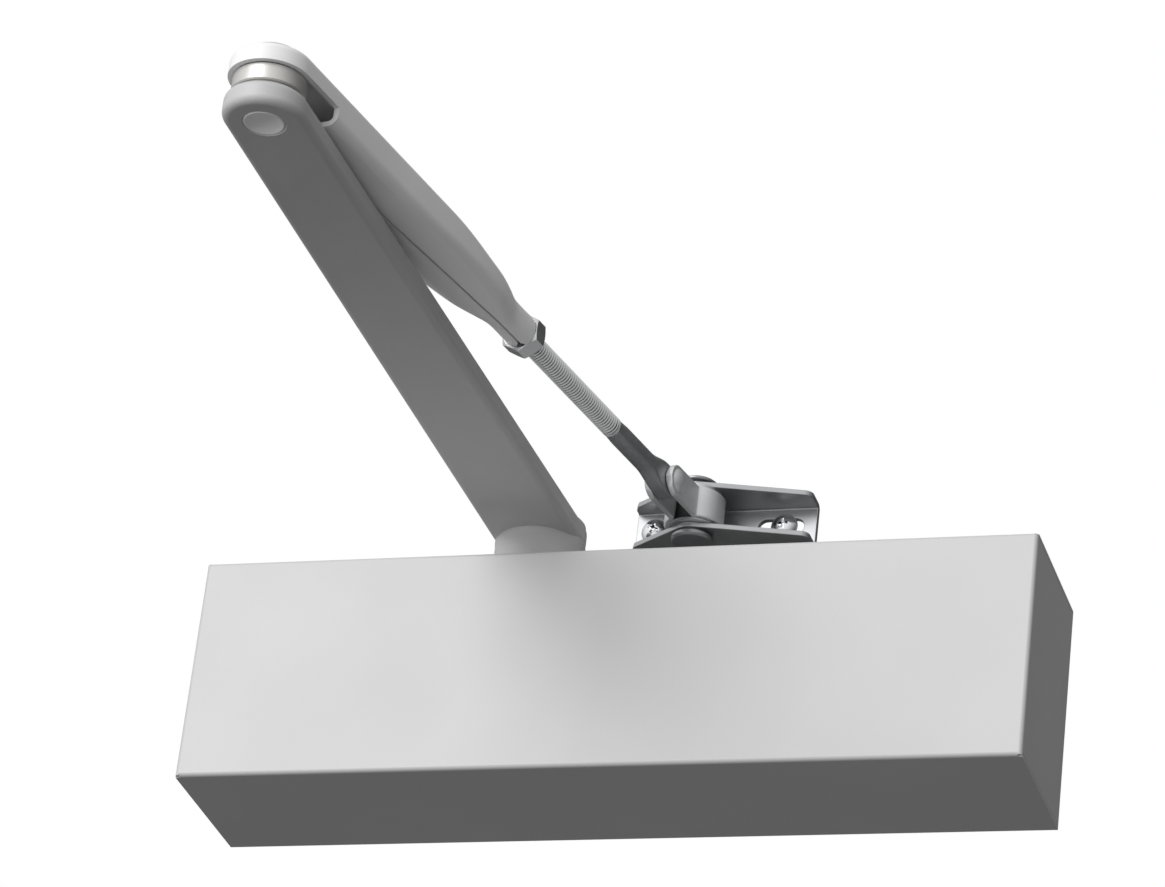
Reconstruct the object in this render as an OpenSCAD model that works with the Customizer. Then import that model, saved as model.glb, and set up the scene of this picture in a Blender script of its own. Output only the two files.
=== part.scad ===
// Surface-mounted rack-and-pinion door closer with a regular double-lever arm.
// Origin: where the spindle's centreline, carried back, meets the door face, at the cover's mid height.
// +X along the cover towards its long end, +Y into the door, +Z up along the spindle.

/* [Cover] */
// Length of the cover
cover_length = 300; // [280:1:320]
// Height of the cover
cover_height = 83.2; // [82:0.1:90]
// Distance that the cover stands off the door
cover_depth = 59; // [59:0.5:66]
// Thickness of the folded cover sheet
cover_sheet = 1.2; // [1:0.1:1.2]
// Length of the cover on the short side of the spindle
cover_short_side = 112.7; // [110:0.1:125]

/* [Main arm] */
// Distance between spindle and elbow
arm_length = 282.4; // [240:0.1:320]
// Angle between the arm and a line square to the door
arm_lean = 1.16; // [0:0.01:5]
// Height of the arm's underside above the cover
arm_rise = 17.5; // [16:0.1:24]
// Thickness of the arm
arm_thickness = 8.5; // [7:0.1:9]
// Radius of the arm's hub over the spindle
hub_radius = 16; // [14:0.5:18]
// Radius of the arm's elbow end
elbow_radius = 13.5; // [12:0.1:14]

/* [Forearm] */
// Distance between the elbow and the shoe pin
forearm_length = 301.8; // [300:0.1:306]
// Angle between the forearm and the cover's long edge
forearm_angle = 79.11; // [76:0.01:84]
// Height of the rod's centreline above the cover
rod_rise = 36.1; // [35.5:0.1:37]
// Width of the pressed channel
channel_width = 27; // [25:0.5:28]
// Thickness of the channel's sheet
channel_sheet = 1.8; // [1.5:0.1:2]
// Outside diameter of the rod's rolled thread
thread_d = 7.6; // [7:0.1:7.8]
// Diameter of the rod's plain shank
shank_d = 7.1; // [6.5:0.1:7.4]

/* [Shoe] */
// Length of the shoe bracket
shoe_length = 66.6; // [64:0.1:70]
// Height of the shoe bracket over both ears
shoe_height = 18.3; // [18:0.1:20]
// Distance between the two shoe screws
shoe_screw_spacing = 48; // [44:0.5:48]
// Diameter of the shoe pin
shoe_pin_d = 10; // [8:0.5:10]

/* [Closer body] */
// Diameter of the cylinder bore
bore_d = 38; // [36:1:38]
// Module of the rack and the pinion
gear_module = 2; // [2:0.1:2]
// Teeth on the pinion
pinion_teeth = 10; // [10:1:10]
// Width of the body fixing pattern
fixing_width = 220; // [200:1:220]
// Height of the body fixing pattern
fixing_height = 60; // [58:0.5:62]

/* [Hidden] */
$fn = 64;
eps = 0.02;
turn_gap = 0.05;      // radial clearance of a pin or shaft in its bore
face_gap = 0.3;       // gap between faces that turn past each other

// cover
cover_x0 = -cover_short_side;
cover_x1 = cover_length - cover_short_side;
cover_top = cover_height / 2;
bend_r = 1.4;
end_drop = 1.3;       // the end flanges stop this far under the top and bottom sheets
notch_w = 30;

// body
axis_y = -cover_depth / 2;
bore_r = bore_d / 2;
barrel_r = bore_r + 5.5;
body_x0 = -84;
body_x1 = 164;
cap_thread = 12;
cap_r = bore_r + 1.5;
cap_flange_r = 23.5;
cap_flange_t = 8;
boss_r = 20;
boss_z = 38.5;
bearing_r = 14;
bearing_z0 = 19.6;
bearing_z1 = 30;
nut_r = 17;
seal_r = 13;
seal_t = 3.4;
journal_r = 9;
lug_r = 9;
lug_t = 8;
fixing_x = 40;
fixing_hole_r = 2.9;
valve_r = 3;
valve_ring = 10;      // the valve screws stand on a circle of this radius
clip_t = 0.8;

// gears: pitch radius, base circle and the shortened addendum that avoids undercut
pressure = 25;
pitch_r = gear_module * pinion_teeth / 2;
base_r = pitch_r * cos(pressure);
addendum = 0.8 * gear_module;
dedendum = 1.0 * gear_module;
backlash = 0.3;
pinion_half = 12.5;
rack_half = 12;
circular_pitch = PI * gear_module;
rack_line = axis_y - pitch_r;

// piston, springs and adjuster
piston_x0 = -60;
piston_x1 = 30;
window_x0 = -44;
window_x1 = 14.3;
window_back = axis_y + pitch_r + addendum + 0.8;
rack_first = -6;
rack_last = 1;
check_r = 4;
ball_r = 2.4;
ball_x = piston_x0 + 5.95;
seat_x = 128;
seat_t = 6;
seat_hub = 12;
screw_r = 5;
outer_coil_r = 15;
outer_wire_r = 2.3;
outer_turns = 9;
inner_coil_r = 8.6;
inner_wire_r = 1.5;
inner_turns = 13;

// main arm, stacked up from its underside
arm_z0 = cover_top + arm_rise;
arm_z1 = arm_z0 + arm_thickness;
hub_z0 = cover_top + 2;
hub_pad = 0.7;
square = 12.4;
elbow_x = arm_length * cos(-90 - arm_lean);
elbow_y = axis_y + arm_length * sin(-90 - arm_lean);
rivet_head_r = 6.65;
rivet_r = 5;

// forearm, heights counted from the rod's centreline
rod_z = cover_top + rod_rise;
pan_top = 3.9;
pan_bottom = -3.1;
belly = -9.2;
belly_bend = 70;      // the belly rises from this station on
belly_rise = 1.85;
neck_r = 6.2;
neck_start = 146;
neck_end = 167;
waist_start = 98;
waist_end = 158;
channel_start = 20;
bush_r = 11.85;
nut_s = neck_end + face_gap;
nut_len = 6.2;
nut_across = 13;
rod_start = 118;
thread_end = 236;
flat_start = 256;
eye_t = 5.6;
eye_r = 5.5;
knuckle_arm = 23.5;   // from the shoe pin to the knuckle rivet
knuckle_s = forearm_length - knuckle_arm;
knuckle_rivet_r = 3;

// knuckle strap and shoe
strap_t = 2.4;
strap_out = 5.5;
loop_r = 10.6;
strap_h = 11.8;
pin_r = shoe_pin_d / 2;
pin_x = elbow_x + forearm_length * cos(forearm_angle);
pin_y = elbow_y + forearm_length * sin(forearm_angle);
pin_head_r = 7.5;
pin_head_t = 2.4;
pin_neck = 0.85;
ear_t = 2;
ear_tip_r = 6.9;
plate_t = 2.5;
shoe_x0 = pin_x - 25.2;
shoe_x1 = shoe_x0 + shoe_length;
shoe_z0 = rod_z - 8.7;
shoe_z1 = shoe_z0 + shoe_height;
shoe_zc = (shoe_z0 + shoe_z1) / 2;
ear_left_depth = 8.1;
ear_left_step = 1.4;
ear_right_r = 3.5;
ear_left_slope = 33;
ear_right_slope = 15;
screw_x0 = shoe_x0 + 6.7;
slot_len = 17;
slot_w = 6.3;
slot_x = screw_x0 + shoe_screw_spacing - 1.2;
wood_screw_r = 2.4;
screw_head_r = 4.95;
screw_head_t = 3.2;
screw_reach = 22;

// ---- shared shapes ------------------------------------------------------------------------

// a cylinder along +X from x0 to x1
module rod_x(r, x0, x1) translate([x0, 0, 0]) rotate([0, 90, 0]) cylinder(r = r, h = x1 - x0);

// a ring along +Z from z0 to z1
module ring_z(r_out, r_in, z0, z1) translate([0, 0, z0]) difference() {
    cylinder(r = r_out, h = z1 - z0);
    translate([0, 0, -1]) cylinder(r = r_in, h = z1 - z0 + 2);
}

// a box between two corners
module box(a, b) translate(a) cube(b - a);

// a hexagonal prism along +X, measured across its flats
module hex_x(across, x0, x1) translate([x0, 0, 0]) rotate([0, 90, 0])
    rotate([0, 0, 30]) cylinder(r = across / 2 / cos(30), h = x1 - x0, $fn = 6);

// a domed button along +Z: the cap of a sphere with the given foot radius and height
module dome(r, h) {
    ball = (r * r + h * h) / (2 * h);
    rotate_extrude() intersection() {
        translate([0, h - ball]) circle(r = ball);
        square([r, h]);
    }
}

// a coil of round wire along +X, swept as one closed skin
module coil_x(coil_r, wire_r, turns, x0, x1) {
    sides = 8;
    per_turn = 16;
    rings = turns * per_turn;
    function middle(i) = [x0 + wire_r + (x1 - x0 - 2 * wire_r) * i / rings,
                          coil_r * cos(360 * i / per_turn), coil_r * sin(360 * i / per_turn)];
    function wire(i, j) = let (a = 360 * i / per_turn, b = 360 * j / sides)
        middle(i) + wire_r * [sin(b), cos(b) * cos(a), cos(b) * sin(a)];
    polyhedron(
        points = [for (i = [0 : rings]) for (j = [0 : sides - 1]) wire(i, j)],
        faces = concat(
            [for (i = [0 : rings - 1]) for (j = [0 : sides - 1])
                let (k = (j + 1) % sides)
                [i * sides + j, (i + 1) * sides + j, (i + 1) * sides + k, i * sides + k]],
            [[for (j = [0 : sides - 1]) j]],
            [[for (j = [sides - 1 : -1 : 0]) rings * sides + j]]));
}

module at_spindle() translate([0, axis_y, 0]) children();
module on_bore() translate([0, axis_y, 0]) children();
module at_elbow() translate([elbow_x, elbow_y, 0]) children();
module at_pin() translate([pin_x, pin_y, 0]) children();

// local +X runs from the spindle to the elbow
module along_arm() translate([0, axis_y, 0]) rotate([0, 0, -90 - arm_lean]) children();

// local +X runs from the elbow to the shoe pin, z = 0 on the rod's centreline
module along_forearm() translate([elbow_x, elbow_y, rod_z]) rotate([0, 0, forearm_angle]) children();

// both ends of the spindle carry the same parts
module both_ends() {
    children();
    mirror([0, 0, 1]) children();
}

// ---- cover --------------------------------------------------------------------------------

// one quarter-round bend along +Z, its centre on the axis, opening towards -X and -Y
module bend(h) intersection() {
    ring_z(bend_r, bend_r - cover_sheet, 0, h);
    box([-bend_r, -bend_r, 0], [0, 0, h]);
}

module cover() color("gainsboro") {
    front = -cover_depth;
    inner_z = cover_top - bend_r;
    box([cover_x0 + bend_r, front, -inner_z], [cover_x1 - bend_r, front + cover_sheet, inner_z]);
    // top and bottom sheets run the whole length, with the spindle's slot in the top one
    difference() {
        for (side = [-1, 1])
            box([cover_x0, front + bend_r, side > 0 ? cover_top - cover_sheet : -cover_top],
                [cover_x1, 0, side > 0 ? cover_top : cover_sheet - cover_top]);
        translate([0, axis_y, 0]) cylinder(r = notch_w / 2, h = cover_height);
        box([-notch_w / 2, axis_y, 0], [notch_w / 2, 1, cover_height]);
    }
    // end flanges tuck in between them
    for (x = [cover_x0, cover_x1 - cover_sheet])
        box([x, front + bend_r, -cover_top + end_drop], [x + cover_sheet, 0, cover_top - end_drop]);
    // the four folds of the front
    translate([cover_x0 + bend_r, front + bend_r, -inner_z]) bend(2 * inner_z);
    translate([cover_x1 - bend_r, front + bend_r, -inner_z]) mirror([1, 0, 0]) bend(2 * inner_z);
    for (side = [0, 1]) mirror([0, 0, side])
        translate([cover_x0 + bend_r, front + bend_r, -inner_z]) rotate([90, 0, 90])
            bend(cover_length - 2 * bend_r);
}

// spring-steel clips, screwed to the body's ends, that hold the cover's end flanges
module cover_clips() color("silver") {
    x_left = cover_x0 + cover_sheet + face_gap;
    x_right = cover_x1 - cover_sheet - face_gap;
    cap_left = body_x0 - cap_flange_t;
    cap_right = body_x1 + cap_flange_t;
    for (z = [-cap_flange_r - clip_t, cap_flange_r]) {
        box([x_left, -14, z], [cap_left + 6, -4, z + clip_t]);
        box([x_left, -14, min(z, 0)], [x_left + clip_t, -4, max(z, 0) + clip_t]);
        box([cap_right - 6, -14, z], [x_right, -4, z + clip_t]);
        box([x_right - clip_t, -14, min(z, 0)], [x_right, -4, max(z, 0) + clip_t]);
    }
}

// ---- closer body --------------------------------------------------------------------------

module body_casting() color("dimgray") difference() {
    union() {
        on_bore() rod_x(barrel_r, body_x0, body_x1);
        box([body_x0, axis_y, -barrel_r], [body_x1, 0, barrel_r]);
        at_spindle() translate([0, 0, -boss_z]) cylinder(r = boss_r, h = 2 * boss_z);
        for (side = [-1, 1]) for (z = [-1, 1]) {
            x = fixing_x + side * fixing_width / 2;
            translate([x, -lug_t, z * fixing_height / 2]) rotate([-90, 0, 0]) cylinder(r = lug_r, h = lug_t);
            box([x - lug_r, -lug_t, min(0, z * fixing_height / 2)], [x + lug_r, 0, max(0, z * fixing_height / 2)]);
        }
    }
    on_bore() rod_x(bore_r, body_x0 - 1, body_x1 + 1);
    on_bore() rod_x(cap_r, body_x0 - 1, body_x0 + cap_thread);
    on_bore() rod_x(cap_r, body_x1 - cap_thread, body_x1 + 1);
    at_spindle() both_ends() {
        cylinder(r = seal_r, h = boss_z + 1);
        translate([0, 0, bearing_z0]) cylinder(r = bearing_r, h = boss_z);
        translate([0, 0, bearing_z1]) cylinder(r = nut_r, h = boss_z);
    }
    for (side = [-1, 1]) for (z = [-1, 1])
        translate([fixing_x + side * fixing_width / 2, 1, z * fixing_height / 2])
            rotate([90, 0, 0]) cylinder(r = fixing_hole_r, h = lug_t + 2);
}

// a threaded end plug with its sealing-ring groove, its flange towards -X
module end_plug() difference() {
    union() {
        rod_x(cap_flange_r, 0, cap_flange_t);
        rod_x(cap_r - turn_gap, cap_flange_t, cap_flange_t + cap_thread);
    }
    translate([cap_flange_t + cap_thread - 3.4, 0, 0]) rotate([0, 90, 0])
        ring_z(cap_r + 1, cap_r - 2, 0, 2.4);
}

module valve_place(i) translate([0, valve_ring * sin(120 * i), valve_ring * cos(120 * i)]) children();

module valve_end_cap() color("gray") on_bore() translate([body_x0 - cap_flange_t, 0, 0]) difference() {
    end_plug();
    for (i = [0 : 2]) valve_place(i) rod_x(valve_r + turn_gap, -1, 16);
}

module spring_end_cap() color("gray") on_bore() difference() {
    translate([body_x1 + cap_flange_t, 0, 0]) mirror([1, 0, 0]) end_plug();
    rod_x(screw_r + turn_gap, body_x1 - cap_thread - 1, body_x1 + cap_flange_t + 1);
}

module end_cap_rings() color("black") on_bore()
    for (x = [body_x0 + cap_thread - 2.2, body_x1 - cap_thread + 2.2])
        translate([x, 0, 0]) rotate([0, 90, 0]) rotate_extrude() translate([cap_r - 1.05, 0]) circle(r = 0.95);

// ---- spindle bearings ---------------------------------------------------------------------

module bearing() color("silver") ring_z(bearing_r - turn_gap, journal_r + turn_gap, bearing_z0 + 0.05, bearing_z1 - 0.05);
module upper_bearing() at_spindle() bearing();
module lower_bearing() at_spindle() mirror([0, 0, 1]) bearing();

// threaded ring that closes the boss and holds the lip seal, with two spanner holes
module bearing_nut() color("darkgray") difference() {
    ring_z(nut_r - turn_gap, journal_r + 0.4, bearing_z1, boss_z);
    translate([0, 0, bearing_z1 - 1]) cylinder(r = seal_r, h = seal_t + 1.3);
    for (a = [0, 180]) rotate([0, 0, a]) translate([13, 0, boss_z - 3]) cylinder(r = 1.5, h = 4);
}
module upper_bearing_nut() at_spindle() bearing_nut();
module lower_bearing_nut() at_spindle() mirror([0, 0, 1]) bearing_nut();

module spindle_seals() color("black") at_spindle() both_ends()
    ring_z(seal_r - turn_gap, journal_r + turn_gap, bearing_z1 + 0.1, bearing_z1 + seal_t);

// ---- valves -------------------------------------------------------------------------------

// regulating screw: slotted head, ring groove and a needle point, its head towards -X
module valve_screw() color("goldenrod") difference() {
    union() {
        rod_x(valve_r, 0, 6);
        rod_x(valve_r - 1, 5, 9);
        rod_x(valve_r, 8, 13);
        translate([13, 0, 0]) rotate([0, 90, 0]) cylinder(r1 = valve_r - 0.5, r2 = 0.8, h = 2.6);
    }
    box([-1, -0.5, -valve_r - 1], [1.4, 0.5, valve_r + 1]);
}
module valve_at(i) on_bore() translate([body_x0 - cap_flange_t + 0.2, 0, 0]) valve_place(i) valve_screw();
module closing_valve() valve_at(0);
module latching_valve() valve_at(1);
module backcheck_valve() valve_at(2);

module valve_rings() color("black") on_bore() translate([body_x0 - cap_flange_t + 7.2, 0, 0])
    for (i = [0 : 2]) valve_place(i) rotate([0, 90, 0])
        rotate_extrude() translate([valve_r - 0.45, 0]) circle(r = 0.4, $fn = 24);

// ---- piston -------------------------------------------------------------------------------

// rack tooth on the pitch line, pointing +Y, straight-flanked at the pressure angle
module rack_tooth() {
    half = (circular_pitch - backlash) / 4;
    polygon([
        [-half - (dedendum + 0.5) * tan(pressure), -dedendum - 0.5],
        [half + (dedendum + 0.5) * tan(pressure), -dedendum - 0.5],
        [half - addendum * tan(pressure), addendum],
        [-half + addendum * tan(pressure), addendum]]);
}

module piston() color("darkgray") {
    difference() {
        on_bore() rod_x(bore_r - turn_gap, piston_x0, piston_x1);
        box([window_x0, rack_line - dedendum - 0.1, -bore_r], [window_x1, window_back, bore_r]);
        on_bore() rod_x(check_r, piston_x0 - 1, piston_x0 + 10);
        on_bore() rod_x(1.6, piston_x0, window_x0 + 1);
        on_bore() translate([piston_x0 + 3, 0, 0]) rotate([0, 90, 0]) ring_z(bore_r + 1, bore_r - 2, 0, 2.2);
    }
    // teeth that mesh with the pinion: a space faces the pinion's centre at rest
    intersection() {
        translate([0, rack_line, -rack_half]) linear_extrude(2 * rack_half)
            for (i = [rack_first : rack_last]) translate([(i + 0.5) * circular_pitch, 0]) rack_tooth();
        box([window_x0 - 1, rack_line - dedendum - 1, -rack_half], [window_x1 + 1, axis_y, rack_half]);
    }
}

module piston_ring() color("white") on_bore() translate([piston_x0 + 3.1, 0, 0]) rotate([0, 90, 0])
    ring_z(bore_r - 0.03, bore_r - 1.9, 0, 2);

module check_valve_seat() color("goldenrod") on_bore() difference() {
    rod_x(check_r - 0.03, piston_x0 + 0.2, piston_x0 + 4);
    rod_x(1.5, piston_x0 - 1, piston_x0 + 5);
}

module check_valve_ball() color("silver") on_bore() translate([ball_x, 0, 0]) sphere(r = ball_r);

// ---- springs and adjuster -----------------------------------------------------------------

module outer_spring() color("slategray") on_bore()
    coil_x(outer_coil_r, outer_wire_r, outer_turns, piston_x1 + 0.2, seat_x - 0.2);
module inner_spring() color("slategray") on_bore()
    coil_x(inner_coil_r, inner_wire_r, inner_turns, piston_x1 + 0.2, seat_x - 0.2);

module spring_seat() color("darkgray") on_bore() difference() {
    union() {
        rod_x(bore_r - turn_gap, seat_x, seat_x + seat_t);
        rod_x(journal_r, seat_x + seat_t, seat_x + seat_t + seat_hub);
    }
    rod_x(screw_r + turn_gap, seat_x - 1, seat_x + seat_t + seat_hub + 1);
}

module adjusting_screw() color("silver") on_bore() difference() {
    union() {
        rod_x(screw_r, seat_x - 16, body_x1 + cap_flange_t + face_gap + 1);
        rod_x(journal_r, body_x1 - cap_thread - face_gap - 3, body_x1 - cap_thread - face_gap);
        hex_x(13, body_x1 + cap_flange_t + face_gap, body_x1 + cap_flange_t + 6);
    }
    box([body_x1 + cap_flange_t + 4.4, -0.8, -8], [body_x1 + cap_flange_t + 7, 0.8, 8]);
}

// ---- spindle and main arm -----------------------------------------------------------------

// one flank of a pinion tooth: angle in degrees off the tooth's middle at radius r
inv_at = function(a) tan(a) * 180 / PI - a;
flank = function(r) (90 / pinion_teeth) * (1 - backlash / circular_pitch)
    + inv_at(pressure) - inv_at(acos(min(1, base_r / r)));

module pinion_outline() {
    tip_r = pitch_r + addendum;
    root_r = pitch_r - addendum - 0.35;
    steps = 6;
    radii = [for (i = [0 : steps]) base_r + (tip_r - base_r) * i / steps];
    polygon([for (t = [0 : pinion_teeth - 1]) let (a0 = 360 * t / pinion_teeth)
        each concat(
            [root_r * [cos(a0 - flank(base_r) - 1), sin(a0 - flank(base_r) - 1)]],
            [for (r = radii) r * [cos(a0 - flank(r)), sin(a0 - flank(r))]],
            [for (i = [steps : -1 : 0]) radii[i] * [cos(a0 + flank(radii[i])), sin(a0 + flank(radii[i]))]],
            [root_r * [cos(a0 + flank(base_r) + 1), sin(a0 + flank(base_r) + 1)]])]);
}

module pinion_spindle() color("silver") at_spindle() difference() {
    union() {
        // a tooth points straight at the rack, so it stands in the space there
        translate([0, 0, -pinion_half]) linear_extrude(2 * pinion_half) rotate([0, 0, -90]) pinion_outline();
        translate([0, 0, pinion_half - eps]) cylinder(r = journal_r, h = hub_z0 - pinion_half);
        translate([0, 0, -boss_z]) cylinder(r = journal_r, h = boss_z - pinion_half + eps);
        rotate([0, 0, -arm_lean]) box([-square / 2, -square / 2, hub_z0 - 1], [square / 2, square / 2, arm_z1 - 1]);
    }
    translate([0, 0, arm_z1 - 18]) cylinder(r = 2.55, h = 20);
}

// straight sides that run tangent into the two round ends
module arm_outline() {
    lean = asin((hub_radius - elbow_radius) / arm_length);
    steps = 24;
    function round_end(x, r, from, to) =
        [for (i = [0 : steps]) let (a = from + (to - from) * i / steps) [x + r * cos(a), r * sin(a)]];
    polygon(concat(
        round_end(0, hub_radius, 90 - lean, 270 + lean),
        round_end(arm_length, elbow_radius, lean - 90, 90 - lean)));
}

module main_arm() color("gray") along_arm() difference() {
    union() {
        translate([0, 0, arm_z0]) linear_extrude(arm_thickness) arm_outline();
        translate([0, 0, hub_z0]) cylinder(r = hub_radius - 0.4, h = arm_z1 + hub_pad - hub_z0);
    }
    box([-square / 2 - turn_gap, -square / 2 - turn_gap, hub_z0 - 1],
        [square / 2 + turn_gap, square / 2 + turn_gap, arm_z1 + 2]);
    translate([0, 0, hub_z0 - 1]) cylinder(r = journal_r + turn_gap, h = 1.2);
    translate([arm_length, 0, arm_z0 - 1]) cylinder(r = rivet_head_r + turn_gap, h = arm_thickness + 2);
}

module arm_washer() color("silver") at_spindle() ring_z(9.5, 2.7, arm_z1 + hub_pad, arm_z1 + hub_pad + 1.2);

// low-head screw with a hexagon socket
module arm_screw() color("silver") at_spindle() difference() {
    union() {
        translate([0, 0, arm_z1 + hub_pad + 1.2]) cylinder(r = 4.6, h = 2.6);
        translate([0, 0, arm_z1 - 14]) cylinder(r = 2.5, h = 16.5);
    }
    translate([0, 0, arm_z1 + hub_pad + 2.2]) cylinder(r = 2.3, h = 3, $fn = 6);
}

// shouldered rivet: a dished foot fills the arm's hole, its shank carries the forearm
module elbow_rivet() color("gray") at_elbow() difference() {
    union() {
        translate([0, 0, arm_z0]) cylinder(r = rivet_head_r, h = arm_thickness);
        translate([0, 0, arm_z1 - eps]) cylinder(r = rivet_r, h = rod_z + pan_top - arm_z1 + 0.4);
        translate([0, 0, rod_z + pan_top + 0.35]) dome(8.5, 1.9);
    }
    translate([0, 0, arm_z0]) mirror([0, 0, 1]) translate([0, 0, -1.1]) rotate_extrude()
        polygon([[0, 0], [4, 0.15], [5.9, 1.1], [5.9, 2], [0, 2]]);
}

// ---- forearm ------------------------------------------------------------------------------

module elbow_bush() color("silver") at_elbow()
    ring_z(bush_r, rivet_r + turn_gap, arm_z1 + face_gap + 0.5, rod_z + pan_bottom - 0.05);
module elbow_washer() color("white") at_elbow()
    ring_z(bush_r - 1.6, rivet_r + turn_gap, arm_z1 + 0.1, arm_z1 + face_gap + 0.45);

// half width of the channel: parallel, then an S-curve down to the neck
half_at = function(s)
    let (t = min(1, max(0, (s - waist_start) / (waist_end - waist_start))))
    channel_width / 2 + (neck_r - channel_width / 2) * (1 - cos(180 * t)) / 2;
waist = [for (i = [0 : 12]) waist_start + (waist_end - waist_start) * i / 12];
// plan of the channel from station s0 onwards, drawn in by inset
module channel_plan(s0, s1, inset = 0) {
    stations = concat([s0], [for (s = waist) if (s > s0 && s < s1) s], [s1]);
    polygon(concat(
        [for (s = stations) [s, half_at(s) - inset]],
        [for (i = [len(stations) - 1 : -1 : 0]) [stations[i], -half_at(stations[i]) + inset]]));
}

// the deep part of the channel, drawn in by inset; its belly rises towards the neck
module deep_channel(s0, s1, inset = 0) difference() {
    translate([0, 0, belly + inset]) linear_extrude(pan_top - belly - 2 * inset) channel_plan(s0, s1, inset);
    translate([belly_bend, 0, belly + inset]) rotate([0, -belly_rise, 0]) box([0, -20, -10], [140, 20, 0]);
}

module forearm_channel() color("darkgray") along_forearm() difference() {
    union() {
        difference() {
            // the outside: round pan over the elbow, deep channel behind it
            union() {
                translate([0, 0, pan_bottom]) cylinder(r = channel_width / 2, h = pan_top - pan_bottom);
                translate([0, 0, pan_bottom]) linear_extrude(pan_top - pan_bottom) channel_plan(0, 30);
                deep_channel(channel_start, neck_end);
            }
            // the inside, open below under the pan
            translate([0, 0, pan_bottom - 1])
                cylinder(r = channel_width / 2 - channel_sheet, h = pan_top - channel_sheet - pan_bottom + 1);
            translate([0, 0, pan_bottom - 1])
                linear_extrude(pan_top - channel_sheet - pan_bottom + 1) channel_plan(0, 30, channel_sheet);
            deep_channel(channel_start - 1, neck_start, channel_sheet);
            // folded edges meet in a seam along the bottom
            box([channel_start - 1, -0.5, belly - 1], [neck_start, 0.5, 0]);
        }
        rod_x(neck_r, neck_start, neck_end);
    }
    rod_x(thread_d / 2 + turn_gap, rod_start - 10, neck_end + 1);
    // the neck is squeezed round
    difference() {
        box([waist_end, -10, -12], [neck_end + 1, 10, 12]);
        rod_x(neck_r, waist_end - 1, neck_end + 2);
    }
    translate([0, 0, -10]) cylinder(r = rivet_r + turn_gap, h = 20);
}

module threaded_rod() color("silver") along_forearm() difference() {
    union() {
        rod_x(thread_d / 2, rod_start, thread_end);
        rod_x(shank_d / 2, thread_end - 1, flat_start + 4);
        box([flat_start, -eye_t / 2, -eye_r], [knuckle_s, eye_t / 2, eye_r]);
        translate([knuckle_s, eye_t / 2, 0]) rotate([90, 0, 0]) cylinder(r = eye_r, h = eye_t);
    }
    translate([knuckle_s, 10, 0]) rotate([90, 0, 0]) cylinder(r = knuckle_rivet_r + turn_gap, h = 20);
}

module lock_nut() color("silver") along_forearm() difference() {
    hex_x(nut_across, nut_s, nut_s + nut_len);
    rod_x(thread_d / 2 + turn_gap, nut_s - 1, nut_s + nut_len + 1);
}

// ---- knuckle ------------------------------------------------------------------------------

module knuckle_strap() color("gray") along_forearm() difference() {
    union() {
        translate([forearm_length, 0, 0]) ring_z(loop_r, 1, -strap_h / 2, strap_h / 2);
        for (side = [-1, 1]) {
            y0 = side > 0 ? strap_out - strap_t : -strap_out;
            box([knuckle_s, y0, -strap_h / 2], [forearm_length, y0 + strap_t, strap_h / 2]);
            translate([knuckle_s, y0 + strap_t, 0]) rotate([90, 0, 0]) cylinder(r = strap_h / 2, h = strap_t);
        }
    }
    translate([forearm_length, 0, -10]) cylinder(r = loop_r - strap_t, h = 20);
    box([forearm_length - loop_r - 1, -strap_out + strap_t, -10], [forearm_length, strap_out - strap_t, 10]);
    translate([knuckle_s, 10, 0]) rotate([90, 0, 0]) cylinder(r = knuckle_rivet_r, h = 20);
}

module knuckle_rivet() color("darkgray") along_forearm() translate([knuckle_s, 0, 0]) {
    translate([0, strap_out + eps, 0]) rotate([90, 0, 0]) cylinder(r = knuckle_rivet_r, h = 2 * (strap_out + eps));
    for (side = [-1, 1]) translate([0, side * strap_out, 0]) rotate([-90 * side, 0, 0]) dome(4.6, 1.7);
}

module pin_bush() color("white") at_pin()
    ring_z(loop_r - strap_t - turn_gap, pin_r + turn_gap, rod_z - strap_h / 2, rod_z + strap_h / 2);

// ---- shoe ---------------------------------------------------------------------------------

// plan of one ear: slanting left edge, round tip over the pin, long right edge
module ear_plan() {
    left_tip = [pin_x, pin_y] - ear_tip_r * [sin(ear_left_slope), cos(ear_left_slope)];
    right_tip = [pin_x, pin_y] + ear_tip_r * [sin(ear_right_slope), -cos(ear_right_slope)];
    corner_x = shoe_x1 - ear_right_r;
    corner_y = right_tip[1] + (corner_x - right_tip[0]) * tan(ear_right_slope);
    difference() {
        union() {
            polygon([
                [shoe_x0, 0],
                [shoe_x0 + ear_left_step, -ear_left_depth],
                left_tip,
                [pin_x, pin_y],
                right_tip,
                [corner_x, corner_y],
                [corner_x, 0]]);
            translate([pin_x, pin_y]) circle(r = ear_tip_r);
            translate([corner_x, corner_y + ear_right_r]) circle(r = ear_right_r);
            translate([corner_x - 1, corner_y + ear_right_r]) square([ear_right_r + 1, -corner_y - ear_right_r]);
        }
        translate([pin_x, pin_y]) circle(r = pin_r + turn_gap);
    }
}

module shoe_bracket() color("silver") {
    for (z = [shoe_z0, shoe_z1 - ear_t]) translate([0, 0, z]) linear_extrude(ear_t) ear_plan();
    difference() {
        box([shoe_x0, -plate_t, shoe_z0], [shoe_x1, 0, shoe_z1]);
        translate([screw_x0, 1, shoe_zc]) rotate([90, 0, 0]) cylinder(r = slot_w / 2, h = plate_t + 2);
        for (side = [-1, 1]) translate([slot_x + side * (slot_len - slot_w) / 2, 1, shoe_zc])
            rotate([90, 0, 0]) cylinder(r = slot_w / 2, h = plate_t + 2);
        box([slot_x - (slot_len - slot_w) / 2, -plate_t - 1, shoe_zc - slot_w / 2],
            [slot_x + (slot_len - slot_w) / 2, 1, shoe_zc + slot_w / 2]);
    }
}

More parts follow.
